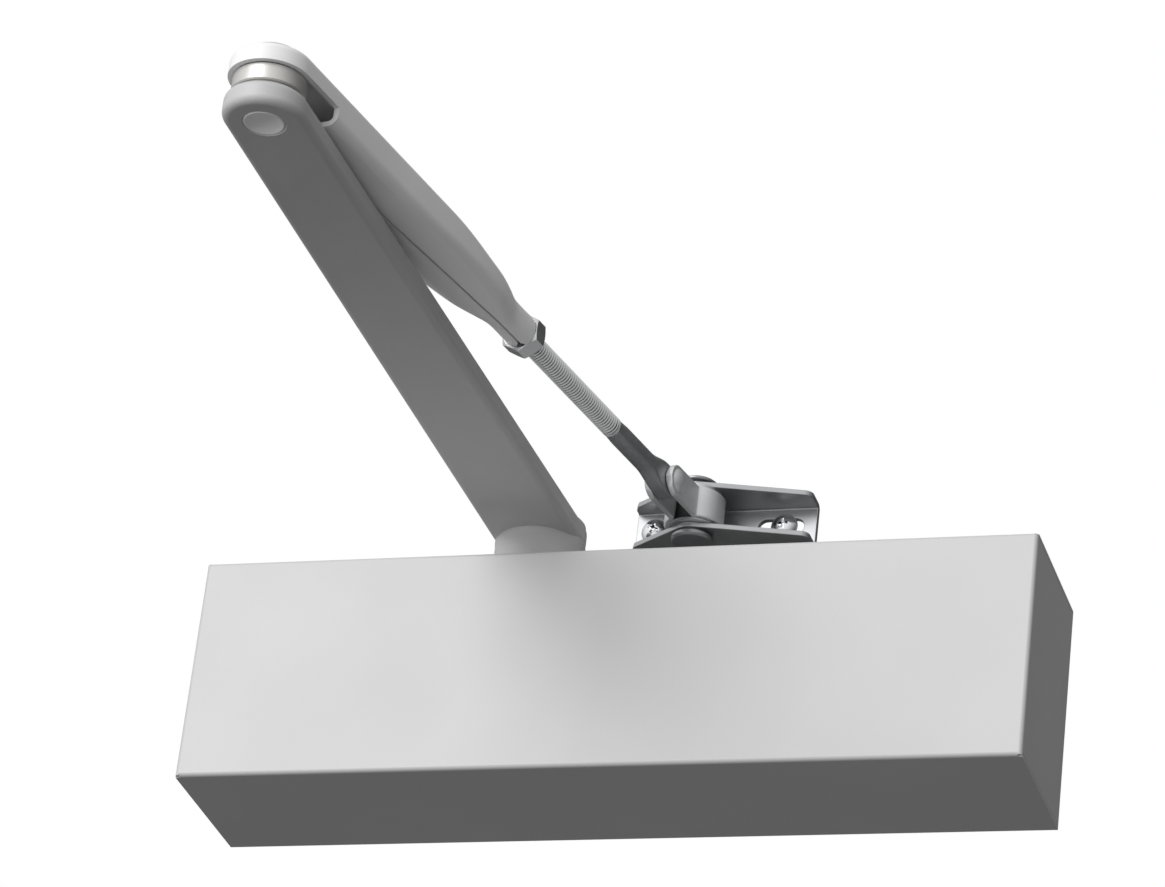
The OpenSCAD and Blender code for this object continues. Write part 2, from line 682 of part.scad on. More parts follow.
module shoe_pin() color("gray") at_pin() {
    translate([0, 0, shoe_z0 - pin_neck - pin_head_t]) cylinder(r = pin_head_r, h = pin_head_t);
    translate([0, 0, shoe_z0 - pin_neck - eps]) cylinder(r = pin_r + 0.6, h = pin_neck + eps);
    translate([0, 0, shoe_z0 - eps]) cylinder(r = pin_r, h = shoe_height + 2 * eps);
    translate([0, 0, shoe_z1]) cylinder(r = pin_r + 0.6, h = pin_neck + eps);
    translate([0, 0, shoe_z1 + pin_neck]) cylinder(r = pin_head_r, h = 1.4);
}

module shoe_washers() color("silver") at_pin() {
    ring_z(9, pin_r + turn_gap, shoe_z0 + ear_t, rod_z - strap_h / 2 - 0.08);
    ring_z(9, pin_r + turn_gap, rod_z + strap_h / 2 + 0.08, shoe_z1 - ear_t);
}

// round-head cross-recess screw, its seat at y = 0 and its point towards +Y
module wood_screw() {
    difference() {
        rotate([90, 0, 0]) dome(screw_head_r, screw_head_t);
        for (a = [0, 90]) rotate([0, a, 0]) box([-0.6, -screw_head_t - 1, -2.6], [0.6, -screw_head_t + 1.7, 2.6]);
    }
    // plain neck through the plate, then the threaded part that stands out of the shoe
    translate([0, -eps, 0]) rotate([-90, 0, 0]) cylinder(r = wood_screw_r + 0.5, h = plate_t);
    translate([0, plate_t - 2 * eps, 0]) rotate([-90, 0, 0]) cylinder(r = wood_screw_r, h = screw_reach - plate_t + 2 * eps);
    translate([0, screw_reach - eps, 0]) rotate([-90, 0, 0]) cylinder(r1 = wood_screw_r, r2 = 0.3, h = 4);
}

module shoe_screws() color("silver")
    for (x = [screw_x0, screw_x0 + shoe_screw_spacing]) translate([x, -plate_t, shoe_zc]) wood_screw();

// ---- nodes --------------------------------------------------------------------------------

cover();
cover_clips();
body_casting();
valve_end_cap();
spring_end_cap();
end_cap_rings();
upper_bearing();
lower_bearing();
upper_bearing_nut();
lower_bearing_nut();
spindle_seals();
closing_valve();
latching_valve();
backcheck_valve();
valve_rings();
piston();
piston_ring();
check_valve_seat();
check_valve_ball();
outer_spring();
inner_spring();
spring_seat();
adjusting_screw();
pinion_spindle();
main_arm();
arm_washer();
arm_screw();
elbow_rivet();
elbow_bush();
elbow_washer();
forearm_channel();
threaded_rod();
lock_nut();
knuckle_strap();
knuckle_rivet();
pin_bush();
shoe_bracket();
shoe_pin();
shoe_washers();
shoe_screws();
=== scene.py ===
import math

import bmesh
import bpy
from mathutils import Matrix, Vector


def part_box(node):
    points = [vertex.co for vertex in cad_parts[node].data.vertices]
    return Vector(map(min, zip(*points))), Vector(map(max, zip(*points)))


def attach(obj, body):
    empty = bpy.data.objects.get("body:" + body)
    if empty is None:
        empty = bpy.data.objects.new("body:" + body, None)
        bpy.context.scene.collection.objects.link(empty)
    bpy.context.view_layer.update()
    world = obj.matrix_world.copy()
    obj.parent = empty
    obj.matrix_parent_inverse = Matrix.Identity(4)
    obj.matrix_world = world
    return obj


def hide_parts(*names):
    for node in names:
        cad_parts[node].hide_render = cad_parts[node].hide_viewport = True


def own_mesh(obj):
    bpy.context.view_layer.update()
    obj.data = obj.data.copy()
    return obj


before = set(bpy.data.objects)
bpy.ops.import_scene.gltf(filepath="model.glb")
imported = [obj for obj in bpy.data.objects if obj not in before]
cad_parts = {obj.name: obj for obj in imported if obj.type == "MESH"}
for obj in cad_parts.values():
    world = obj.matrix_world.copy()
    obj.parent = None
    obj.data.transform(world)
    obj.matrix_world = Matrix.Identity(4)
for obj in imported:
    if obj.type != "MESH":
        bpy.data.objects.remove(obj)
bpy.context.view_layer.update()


# ---- Closer body -------------------------------------------------------------------------
# The body is one aluminium die casting: a bored cylinder with a boss for the spindle and four
# lugs for the door screws. It is tumbled and left unpainted, dull, with a fine grain.

def linear(hex_colour):
    """An sRGB hex colour as the linear colour that a shader takes."""
    parts = [int(hex_colour[i:i + 2], 16) / 255 for i in (0, 2, 4)]
    return [p / 12.92 if p <= 0.04045 else ((p + 0.055) / 1.055) ** 2.4 for p in parts] + [1.0]


def add_node(tree, kind, inputs=None, **settings):
    """Adds a node: inputs maps its sockets to numbers or to other nodes' sockets, the rest are its settings."""
    node = tree.nodes.new(kind)
    for name, value in settings.items():
        setattr(node, name, value)
    for socket, value in (inputs or {}).items():
        if isinstance(value, bpy.types.NodeSocket):
            tree.links.new(value, node.inputs[socket])
        else:
            node.inputs[socket].default_value = value
    return node


def finish_of(name, light, dark, metallic, roughness, patch_mm, grain_mm, grain_depth, ior=None):
    """A finish: two close tones in soft patches, with a fine grain of the given size in its surface."""
    material = bpy.data.materials.new(name)
    material.use_nodes = True
    tree = material.node_tree
    shader = tree.nodes["Principled BSDF"]
    shader.inputs["Metallic"].default_value = metallic
    if ior is not None:
        shader.inputs["IOR"].default_value = ior
    place = add_node(tree, "ShaderNodeTexCoord").outputs["Object"]
    patches = add_node(tree, "ShaderNodeTexNoise", {"Vector": place, "Scale": 1000 / patch_mm, "Detail": 3.0})
    tone = add_node(tree, "ShaderNodeMix", {
        "Factor": patches.outputs["Fac"], 6: linear(dark), 7: linear(light)}, data_type="RGBA")
    gloss = add_node(tree, "ShaderNodeMapRange", {
        "Value": patches.outputs["Fac"], "From Min": 0.3, "From Max": 0.7,
        "To Min": roughness - 0.04, "To Max": roughness + 0.04})
    grain = add_node(tree, "ShaderNodeTexNoise", {"Vector": place, "Scale": 1000 / grain_mm, "Detail": 2.0})
    bump = add_node(tree, "ShaderNodeBump", {
        "Height": grain.outputs["Fac"], "Strength": grain_depth, "Distance": grain_mm / 4000})
    tree.links.new(tone.outputs[2], shader.inputs["Base Color"])
    tree.links.new(gloss.outputs["Result"], shader.inputs["Roughness"])
    tree.links.new(bump.outputs["Normal"], shader.inputs["Normal"])
    return material


def dress(node_name, finish):
    """Gives a CAD node its finish."""
    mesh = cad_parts[node_name].data
    mesh.materials.clear()
    mesh.materials.append(finish)


# tumbled die cast: half matt metal, cloudy, grain of the tumbling stones about half a millimetre
cast_aluminium = finish_of("Die-cast aluminium, tumbled", "A4A4A6", "8C8C8F", 0.85, 0.48, 14, 0.55, 0.5)
dress("body_casting", cast_aluminium)


# ---- End caps, valves and rings ------------------------------------------------------------
# Threaded steel plugs close the cylinder. Three slotted brass screws in the left one throttle
# the oil. Nitrile rings seal the plugs and the screws.

def turned_finish(name, light, dark, roughness, line_mm, axis):
    """Machined metal: fine circular or lengthwise tool lines, stretched round the given axis."""
    material = finish_of(name, light, dark, 1.0, roughness, 9, 0.4, 0.1)
    tree = material.node_tree
    place = add_node(tree, "ShaderNodeTexCoord").outputs["Object"]
    stretch = [40.0, 40.0, 40.0]
    stretch["XYZ".index(axis)] = 1000 / line_mm
    lines = add_node(tree, "ShaderNodeMapping", {"Vector": place, "Scale": stretch})
    tool = add_node(tree, "ShaderNodeTexNoise", {
        "Vector": lines.outputs["Vector"], "Scale": 1.0, "Detail": 2.0})
    bump = tree.nodes["Bump"]
    second = add_node(tree, "ShaderNodeBump", {
        "Height": tool.outputs["Fac"], "Strength": 0.25, "Distance": 0.00005, "Normal": bump.outputs["Normal"]})
    tree.links.new(second.outputs["Normal"], tree.nodes["Principled BSDF"].inputs["Normal"])
    return material


# turned steel: bright, with tool lines a few tenths of a millimetre apart, coarser than real ones so they show
turned_steel = turned_finish("Turned steel, oiled", "9A9B9E", "7E7F83", 0.3, 0.3, "X")
turned_brass = turned_finish("Turned brass", "C9A257", "B08A42", 0.26, 0.3, "X")
# nitrile: black, matt, with a slight moulded grain
nitrile = finish_of("Nitrile rubber, moulded", "1C1C1D", "141414", 0.0, 0.55, 8, 0.3, 0.25, ior=1.52)

for cap in ("valve_end_cap", "spring_end_cap"):
    dress(cap, turned_steel)
for valve in ("closing_valve", "latching_valve", "backcheck_valve"):
    dress(valve, turned_brass)
for ring in ("end_cap_rings", "valve_rings"):
    dress(ring, nitrile)


# ---- Spindle, bearings and seals -----------------------------------------------------------
# The spindle carries the pinion in its middle and a square under the arm. Hardened sleeves
# guide it, held by threaded rings with lip seals under them.

# hardened and ground: darker and smoother than turned steel
ground_steel = turned_finish("Hardened steel, ground", "8E9094", "787A7E", 0.22, 0.2, "Z")
for part in ("pinion_spindle", "upper_bearing", "lower_bearing"):
    dress(part, ground_steel)
for part in ("upper_bearing_nut", "lower_bearing_nut"):
    dress(part, turned_steel)
dress("spindle_seals", nitrile)


# ---- Piston and check valve ----------------------------------------------------------------
# A ground piston with rack teeth cut in its window, a white sliding ring near its left end,
# and a small ball valve that lets the oil back when the door is opened.

# filled PTFE: white, waxy, very smooth
ptfe = finish_of("PTFE, turned", "E8E6E0", "DAD8D1", 0.0, 0.38, 8, 0.3, 0.15, ior=1.38)
dress("piston", turned_steel)
dress("piston_ring", ptfe)
dress("check_valve_seat", turned_brass)
dress("check_valve_ball", ground_steel)


# ---- Springs and adjusting screw -----------------------------------------------------------
# Two nested compression springs of oil-tempered wire, wound opposite ways with closed, ground
# ends, push the piston. A screw through the right cap moves the plate that they stand on.

def coil_tree():
    """A compression spring along +X with closed ends, as a node tree with named sizes."""
    tree = bpy.data.node_groups.new("Coil spring", "GeometryNodeTree")
    face = tree.interface
    for name, kind, value in (
            ("Coil Radius", "NodeSocketFloat", 15.0), ("Wire Radius", "NodeSocketFloat", 2.0),
            ("Turns", "NodeSocketFloat", 9.0), ("Length", "NodeSocketFloat", 90.0),
            ("Hand", "NodeSocketFloat", 1.0), ("Wire", "NodeSocketMaterial", None)):
        socket = face.new_socket(name, in_out="INPUT", socket_type=kind)
        if value is not None:
            socket.default_value = value
    face.new_socket("Geometry", in_out="OUTPUT", socket_type="NodeSocketGeometry")
    given = add_node(tree, "NodeGroupInput").outputs
    along = add_node(tree, "GeometryNodeSplineParameter").outputs["Factor"]
    # the wire lies flat at each end: the rise starts late and stops early
    rise = add_node(tree, "ShaderNodeMapRange", {
        "Value": along, "From Min": 0.02, "From Max": 0.98, "To Min": 0.0, "To Max": 1.0}).outputs["Result"]
    made = {socket.name: socket for socket in given} | {"Along": along, "Rise": rise}
    for name, operation, *values in (
            ("Points", "MULTIPLY", "Turns", 20.0), ("Turned", "MULTIPLY", "Along", "Turns"),
            ("Angle", "MULTIPLY", "Turned", 2 * math.pi), ("Handed", "MULTIPLY", "Angle", "Hand"),
            ("Wire", "MULTIPLY", "Wire Radius", -2.0), ("Span", "ADD", "Length", "Wire"),
            ("X", "MULTIPLY_ADD", "Rise", "Span", "Wire Radius"),
            ("Cosine", "COSINE", "Handed"), ("Sine", "SINE", "Handed"),
            ("Y", "MULTIPLY", "Cosine", "Coil Radius"), ("Z", "MULTIPLY", "Sine", "Coil Radius")):
        made[name] = add_node(tree, "ShaderNodeMath", {
            i: made.get(value, value) for i, value in enumerate(values)}, operation=operation).outputs[0]
    line = add_node(tree, "GeometryNodeCurvePrimitiveLine", {"End": (1.0, 0.0, 0.0)})
    path = add_node(tree, "GeometryNodeResampleCurve", {
        "Curve": line.outputs["Curve"], "Count": made["Points"]})
    spot = add_node(tree, "ShaderNodeCombineXYZ", {axis: made[axis] for axis in "XYZ"})
    bent = add_node(tree, "GeometryNodeSetPosition", {
        "Geometry": path.outputs["Curve"], "Position": spot.outputs["Vector"]})
    section = add_node(tree, "GeometryNodeCurvePrimitiveCircle", {
        "Resolution": 12, "Radius": given["Wire Radius"]})
    wire = add_node(tree, "GeometryNodeCurveToMesh", {
        "Curve": bent.outputs["Geometry"], "Profile Curve": section.outputs["Curve"], "Fill Caps": True})
    real = add_node(tree, "GeometryNodeRealizeInstances", {"Geometry": wire.outputs["Mesh"]})
    coated = add_node(tree, "GeometryNodeSetMaterial", {
        "Geometry": real.outputs["Geometry"], "Material": given["Wire"]})
    add_node(tree, "NodeGroupOutput", {"Geometry": coated.outputs["Geometry"]})
    return tree


def outward(shape):
    """Points all faces of a closed shape outwards."""
    bmesh.ops.recalc_face_normals(shape, faces=shape.faces)
    if shape.calc_volume(signed=True) < 0:
        bmesh.ops.reverse_faces(shape, faces=shape.faces)
    return shape


def grown(tree, name, sizes, place=Matrix.Identity(4)):
    """Runs a node tree with the given sizes in millimetres and keeps the result as a plain mesh there."""
    carrier = bpy.data.objects.new(name, bpy.data.meshes.new(name))
    bpy.context.scene.collection.objects.link(carrier)
    modifier = carrier.modifiers.new(name, "NODES")
    modifier.node_group = tree
    sockets = {item.name: item.identifier for item in tree.interface.items_tree if item.in_out == "INPUT"}
    for size, value in sizes.items():
        modifier[sockets[size]] = value
    mesh = bpy.data.meshes.new_from_object(carrier.evaluated_get(bpy.context.evaluated_depsgraph_get()))
    bpy.data.objects.remove(carrier)
    mesh.transform(place)
    shape = bmesh.new()
    shape.from_mesh(mesh)
    bmesh.ops.remove_doubles(shape, verts=shape.verts, dist=1e-4)
    return outward(shape)


def fit_piece(name, shape, finish, body, stands_for, round_mm=0.0, sharp=35):
    """Makes a shape drawn in millimetres a piece in metres: softens its edges and hangs it on its body."""
    bmesh.ops.dissolve_degenerate(shape, dist=1e-3, edges=shape.edges)
    mesh = bpy.data.meshes.new(name)
    shape.to_mesh(mesh)
    shape.free()
    mesh.materials.clear()
    mesh.materials.append(finish)
    mesh.polygons.foreach_set("material_index", [0] * len(mesh.polygons))
    mesh.polygons.foreach_set("use_smooth", [True] * len(mesh.polygons))
    mesh.set_sharp_from_angle(angle=math.radians(sharp))
    raw = bpy.data.objects.new(name + "_raw", mesh)
    bpy.context.scene.collection.objects.link(raw)
    if round_mm:
        soft = raw.modifiers.new("Soft edges", "BEVEL")
        soft.width = round_mm
        soft.segments = 2
        soft.limit_method = "ANGLE"
        soft.angle_limit = math.radians(sharp)
        soft.harden_normals = False
    even = raw.modifiers.new("Even shading", "WEIGHTED_NORMAL")
    even.keep_sharp = not round_mm
    done = bpy.data.meshes.new_from_object(raw.evaluated_get(bpy.context.evaluated_depsgraph_get()))
    bpy.data.objects.remove(raw)
    done.transform(Matrix.Scale(0.001, 4))
    piece = bpy.data.objects.new(name, done)
    bpy.context.scene.collection.objects.link(piece)
    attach(piece, body)
    if stands_for:
        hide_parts(*stands_for)
    return piece


def beyond(shape, x, keep_high):
    """Keeps the part of a closed shape on one side of a plane across X and closes the cut."""
    cut = bmesh.ops.bisect_plane(
        shape, geom=shape.verts[:] + shape.edges[:] + shape.faces[:], dist=1e-5, plane_co=(x, 0, 0),
        plane_no=(1, 0, 0), clear_inner=keep_high, clear_outer=not keep_high)["geom_cut"]
    bmesh.ops.holes_fill(shape, edges=[e for e in cut if isinstance(e, bmesh.types.BMEdge)])
    return outward(shape)


# oil-tempered wire: dark blue-grey scale with a dull shine
spring_wire = finish_of("Spring wire, oil-tempered", "55585E", "3C3F45", 0.9, 0.36, 10, 0.35, 0.3)
coil = coil_tree()
piston_travel, seat_travel = 29.8, 13.5
for name, node_name, wire_radius, turns, hand in (
        ("outer_coil", "outer_spring", 2.3, 9.0, 1.0), ("inner_coil", "inner_spring", 1.5, 13.0, -1.0)):
    low, high = [c * 1000 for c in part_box(node_name)]
    middle = (low + high) / 2
    whole = grown(coil, name, {
        "Coil Radius": (high.z - low.z) / 2 - wire_radius, "Wire Radius": wire_radius, "Turns": turns,
        "Length": high.x - low.x, "Hand": hand, "Wire": spring_wire},
        Matrix.Translation((low.x, middle.y, middle.z)))
    # the seat's part gives way to the piston and the piston's part to the seat, so both ends stay in place
    parting = low.x + (high.x - low.x) * seat_travel / (seat_travel + piston_travel)
    for part, body, joint, travel, end in (
            ("_by_seat", "spring_seat", "piston_slide", piston_travel, high.x),
            ("_by_piston", "piston", "spring_seat_slide", seat_travel, low.x)):
        spring = fit_piece(
            name + part, beyond(whole.copy(), parting, end > parting), spring_wire,
            body, [node_name] if body == "spring_seat" else [])
        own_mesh(spring)
    whole.free()
dress("spring_seat", turned_steel)
dress("adjusting_screw", turned_steel)


# ---- Cover ---------------------------------------------------------------------------------
# One blank of 1.2 mm steel sheet, folded on all four sides of its front and relieved at the
# corners, then powder coated silver with a very fine texture. Spring clips hold its ends.

cover_low, cover_high = [c * 1000 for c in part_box("cover")]
spindle = sum(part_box("upper_bearing"), Vector()) * 500
sheet = 1.2
fold_radius = 1.4
end_seam = 1.35
slot_radius = 15.0


def strip(shape, left, right):
    """Fills the band between two rows of points that have the same number of points."""
    a = [shape.verts.new(p) for p in left]
    b = [shape.verts.new(p) for p in right]
    for i in range(len(a) - 1):
        shape.faces.new((a[i], a[i + 1], b[i + 1], b[i]))


def folded_cover():
    """The outer skin of the cover, thickened inwards."""
    x0, x1, front, top = cover_low.x, cover_high.x, cover_low.y, cover_high.z
    r, reach = fold_radius, cover_high.z - fold_radius
    shape = bmesh.new()
    corners = [(x0 + r, front, -reach), (x1 - r, front, -reach), (x1 - r, front, reach), (x0 + r, front, reach)]
    shape.faces.new([shape.verts.new(c) for c in corners])
    arc = [math.radians(90) * i / 8 for i in range(9)]
    relief = 0.7 * r
    for side in (-1, 1):
        quarter = [(front + r - r * math.cos(a), side * (reach + r * math.sin(a))) for a in arc]
        strip(shape, [(x0 + r, *p) for p in quarter], [(x1 - r, *p) for p in quarter])
        edge = x1 if side > 0 else x0
        round_end = [(edge - side * r + side * r * math.sin(a), front + r - r * math.cos(a)) for a in arc]
        # the end's bend runs a little past the front, so the corner relief stays small
        for z, wide in ((-reach - relief, relief), (-reach, 2 * reach), (reach, relief)):
            strip(shape, [(*p, z) for p in round_end], [(*p, z + wide) for p in round_end])
        seam = top - end_seam
        flange = [(edge, front + r, z) for z in (-seam, -reach, reach, seam)] + [(edge, 0, seam), (edge, 0, -seam)]
        shape.faces.new([shape.verts.new(p) for p in flange])
        outline = [(x0, front + r), (x0 + r, front + r), (x1 - r, front + r), (x1, front + r), (x1, 0)]
        if side > 0:
            # the slot that lets the cover slide on past the spindle
            outline += [(slot_radius, 0)]
            turned = [math.radians(a) for a in range(0, 181, 10)]
            outline += [(slot_radius * math.cos(a), spindle.y - slot_radius * math.sin(a)) for a in turned]
            outline += [(-slot_radius, 0)]
        outline += [(x0, 0)]
        shape.faces.new([shape.verts.new((x, y, side * top)) for x, y in outline])
    bmesh.ops.remove_doubles(shape, verts=shape.verts, dist=1e-3)
    bmesh.ops.recalc_face_normals(shape, faces=shape.faces)
    front_face = min(shape.faces, key=lambda f: f.calc_center_median().y)
    if front_face.normal.y > 0:
        bmesh.ops.reverse_faces(shape, faces=shape.faces)
    return shape


def worked(shape, **tools):
    """Runs modifiers on a shape, each given as kind={setting: value}, and returns the result as a shape."""
    mesh = bpy.data.meshes.new("worked")
    shape.to_mesh(mesh)
    shape.free()
    carrier = bpy.data.objects.new("worked", mesh)
    bpy.context.scene.collection.objects.link(carrier)
    for kind, settings in tools.items():
        modifier = carrier.modifiers.new(kind, kind)
        for setting, value in settings.items():
            setattr(modifier, setting, value)
    result = bmesh.new()
    result.from_mesh(bpy.data.meshes.new_from_object(
        carrier.evaluated_get(bpy.context.evaluated_depsgraph_get())))
    bpy.data.objects.remove(carrier)
    return result


# silver powder coat: non-metal with a faint mica glitter, satin, texture of a third of a millimetre
silver_coat = finish_of(
    "Steel sheet, silver powder coat", "C9C9C9", "C4C4C4", 0.12, 0.46, 60, 0.5, 0.22, ior=1.5)
fit_piece("folded_cover",
          worked(folded_cover(), SOLIDIFY={"thickness": sheet, "offset": -1.0, "use_even_offset": True}),
          silver_coat, "cover", ["cover"], round_mm=0.16, sharp=40)
# zinc plate: cool, bright and slightly uneven
zinc_plate = finish_of("Steel, bright zinc plated", "D2D3D4", "BDBEC0", 0.95, 0.34, 5, 0.35, 0.25)
dress("cover_clips", zinc_plate)


# ---- Main arm ------------------------------------------------------------------------------
# A forged steel arm with rounded edges and a hub that drops over the spindle's square. It has
# a slightly rough grey coat. A washer and a low socket screw hold it down.

elbow = sum(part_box("elbow_bush"), Vector()) * 500
arm_low, arm_high = [c * 1000 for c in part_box("main_arm")]
arm_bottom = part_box("elbow_rivet")[0].z * 1000
arm_thickness = 8.5
hub_radius = 16.0
elbow_radius = 13.5
foot_radius = 6.65
square_half = 6.25
arm_span = Vector((elbow.x - spindle.x, elbow.y - spindle.y))
along_arm = Matrix.Translation((spindle.x, spindle.y, 0)) @ Matrix.Rotation(
    math.atan2(arm_span.y, arm_span.x), 4, "Z")


def prism(outline, low, high):
    """A closed block with the given outline between two heights."""
    shape = bmesh.new()
    below = [shape.verts.new((x, y, low)) for x, y in outline]
    above = [shape.verts.new((x, y, high)) for x, y in outline]
    count = len(outline)
    shape.faces.new(below[::-1])
    shape.faces.new(above)
    for i in range(count):
        j = (i + 1) % count
        shape.faces.new((below[i], below[j], above[j], above[i]))
    return outward(shape)


def lathe(profile, sides=96):
    """A closed body turned round +Z from (radius, height) points that run from the axis back to the axis."""
    shape = bmesh.new()
    rows = []
    for radius, height in profile:
        if radius < 1e-6:
            rows.append([shape.verts.new((0, 0, height))])
        else:
            rows.append([shape.verts.new((radius * math.cos(2 * math.pi * i / sides),
                                          radius * math.sin(2 * math.pi * i / sides), height))
                         for i in range(sides)])
    closed = len(rows[0]) > 1
    pairs = list(zip(rows, rows[1:])) + ([(rows[-1], rows[0])] if closed else [])
    for a, b in pairs:
        for i in range(sides):
            j = (i + 1) % sides
            corners = [a[i % len(a)], a[j % len(a)], b[j % len(b)], b[i % len(b)]]
            shape.faces.new(list(dict.fromkeys(corners)))
    return outward(shape)


def arc_points(centre, radius, start, end, steps):
    """Points on an arc, its angles in degrees."""
    return [(centre[0] + radius * math.cos(math.radians(start + (end - start) * i / steps)),
             centre[1] + radius * math.sin(math.radians(start + (end - start) * i / steps)))
            for i in range(steps + 1)]


def joined(shape, other, how="UNION"):
    """Joins two closed shapes, or cuts the second from the first."""
    tool_mesh = bpy.data.meshes.new("tool")
    other.to_mesh(tool_mesh)
    other.free()
    tool = bpy.data.objects.new("tool", tool_mesh)
    bpy.context.scene.collection.objects.link(tool)
    result = worked(shape, BOOLEAN={"operation": how, "object": tool, "solver": "EXACT"})
    bpy.data.objects.remove(tool)
    return result


def moved(shape, place):
    """Puts a shape in its place."""
    bmesh.ops.transform(shape, matrix=place, verts=shape.verts)
    return shape


def forged_arm():
    """The arm along +X, its spindle's axis at the origin."""
    lean = math.degrees(math.asin((hub_radius - elbow_radius) / arm_span.length))
    outline = (arc_points((0, 0), hub_radius, 90 - lean, 270 + lean, 40)
               + arc_points((arm_span.length, 0), elbow_radius, lean - 90, 90 - lean, 40))
    plate = worked(prism(outline, arm_bottom, arm_bottom + arm_thickness), BEVEL={
        "width": 2.6, "segments": 6, "limit_method": "ANGLE", "angle_limit": math.radians(40)})
    # the hub swells a little where it meets the plate, and narrows to a rim above it
    hub = lathe([(0, arm_low.z)] + [(hub_radius + out, z) for out, z in (
        (-1.15, arm_low.z), (-0.15, arm_low.z + 1.0), (-0.15, arm_bottom - 2.5), (-0.041, arm_bottom - 1.672),
        (0.05, arm_bottom - 0.9), (0.05, arm_bottom + 0.591), (-0.6, arm_bottom + 5), (-0.6, arm_high.z - 0.6),
        (-1.2, arm_high.z))] + [(0, arm_high.z)])
    arm = joined(plate, hub)
    square = [(x * square_half, y * square_half) for x, y in ((-1, -1), (1, -1), (1, 1), (-1, 1))]
    arm = joined(arm, prism(square, arm_low.z - 1, arm_high.z + 1), "DIFFERENCE")
    hole_radius, above = foot_radius + 0.06, arm_bottom + arm_thickness + 1
    hole = lathe([(0, arm_bottom - 1), (foot_radius + 1.5, arm_bottom - 1), (hole_radius, arm_bottom + 0.45),
                  (hole_radius, above), (0, above)])
    return moved(joined(arm, moved(hole, Matrix.Translation((arm_span.length, 0, 0))), "DIFFERENCE"), along_arm)


# textured coat on a forging: matt grey with a faint sheen, cloudy, grain of half a millimetre
grey_coat = finish_of("Forged steel, textured grey coat", "C8C8C9", "BABABB", 0.12, 0.5, 22, 0.6, 0.55, ior=1.5)
fit_piece("forged_arm", forged_arm(), grey_coat, "main_arm", ["main_arm"], sharp=28)
dress("arm_washer", zinc_plate)
dress("arm_screw", zinc_plate)


# ---- Elbow ---------------------------------------------------------------------------------
# A shouldered rivet: its dished foot fills the arm's hole, and its shank passes through a
# plated bush and the forearm, where it is headed over. A thin nylon washer lies on the arm.

def elbow_rivet():
    """The rivet, standing on the elbow's axis."""
    base, top = arm_bottom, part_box("elbow_rivet")[1].z * 1000
    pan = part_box("forearm_channel")[1].z * 1000
    foot = [(0, base + 1.0), (2.5, base + 0.9), (4.6, base + 0.6), (5.6, base + 0.25), (6.1, base + 0.06),
            (6.4, base + 0.1), (foot_radius - 0.02, base + 0.4), (foot_radius - 0.02, base + arm_thickness),
            (5.0, base + arm_thickness)]
    # the button head, from its rim up to its middle
    rim, rise = 8.4, top - pan
    ball = (rim ** 2 + rise ** 2) / (2 * rise)
    edge = math.asin(rim / ball)
    head = [(5.0, pan + 0.02), (rim, pan + 0.02)] + [
        (ball * math.sin(edge * k / 10), top - ball + ball * math.cos(edge * k / 10)) for k in range(9, 0, -1)]
    return lathe(foot + head + [(0, top)])


def bored(outer, inner, low, high, chamfer):
    """A ring with chamfered edges, as points for the lathe."""
    return [(inner, low + chamfer), (inner + chamfer, low), (outer - chamfer, low), (outer, low + chamfer),
            (outer, high - chamfer), (outer - chamfer, high), (inner + chamfer, high), (inner, high - chamfer)]


at_elbow = Matrix.Translation((elbow.x, elbow.y, 0))
rivet_bore = 5.05
bush_low, bush_high = [c * 1000 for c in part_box("elbow_bush")]
# plated bush: light satin metal
nickel_plate = finish_of("Steel bush, satin nickel plated", "D8D7D4", "CBCAC7", 0.8, 0.42, 6, 0.3, 0.12)
# coated strip and rivet: smoother than the arm, because they have no forging skin, and lighter than the arm as
# painted light for the stronger light on the forearm
painted_light_coat = finish_of("Pressed steel, light grey coat", "F6F6F6", "ECECED", 0.02, 0.42, 26, 0.5, 0.2, ior=1.5)
fit_piece("elbow_rivet_dished", moved(elbow_rivet(), at_elbow), painted_light_coat, "main_arm",
          ["elbow_rivet"], sharp=28)
bush_ring = bored((bush_high.x - bush_low.x) / 2, rivet_bore, bush_low.z, bush_high.z, 0.4)
fit_piece("elbow_bush_ring", moved(lathe(bush_ring), at_elbow), nickel_plate, "forearm",
          ["elbow_bush"])
# natural nylon: creamy white, waxy
nylon = finish_of("Nylon, natural", "E2DFD5", "D6D2C6", 0.0, 0.42, 8, 0.3, 0.15, ior=1.53)
dress("elbow_washer", nylon)


# ---- Forearm channel -----------------------------------------------------------------------
# Pressed from 1.8 mm steel strip: a round pan over the elbow, then sides that curl under until
# they meet in a seam, squeezed down to a round neck that is tapped for the rod.

shoe_pin = sum(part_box("pin_bush"), Vector()) * 500
reach = Vector((shoe_pin.x - elbow.x, shoe_pin.y - elbow.y))
along_forearm = Matrix.Translation((elbow.x, elbow.y, shoe_pin.z)) @ Matrix.Rotation(
    math.atan2(reach.y, reach.x), 4, "Z")
half_width = 13.5
strip_thickness = 1.8
neck_radius = 6.2
neck_end = 167.0
deep_start = 20.0
seam_drift = 1.8


def ease(value, start, end):
    """A smooth step from 0 to 1 between two stations."""
    t = min(1.0, max(0.0, (value - start) / (end - start)))
    return (1 - math.cos(math.pi * t)) / 2


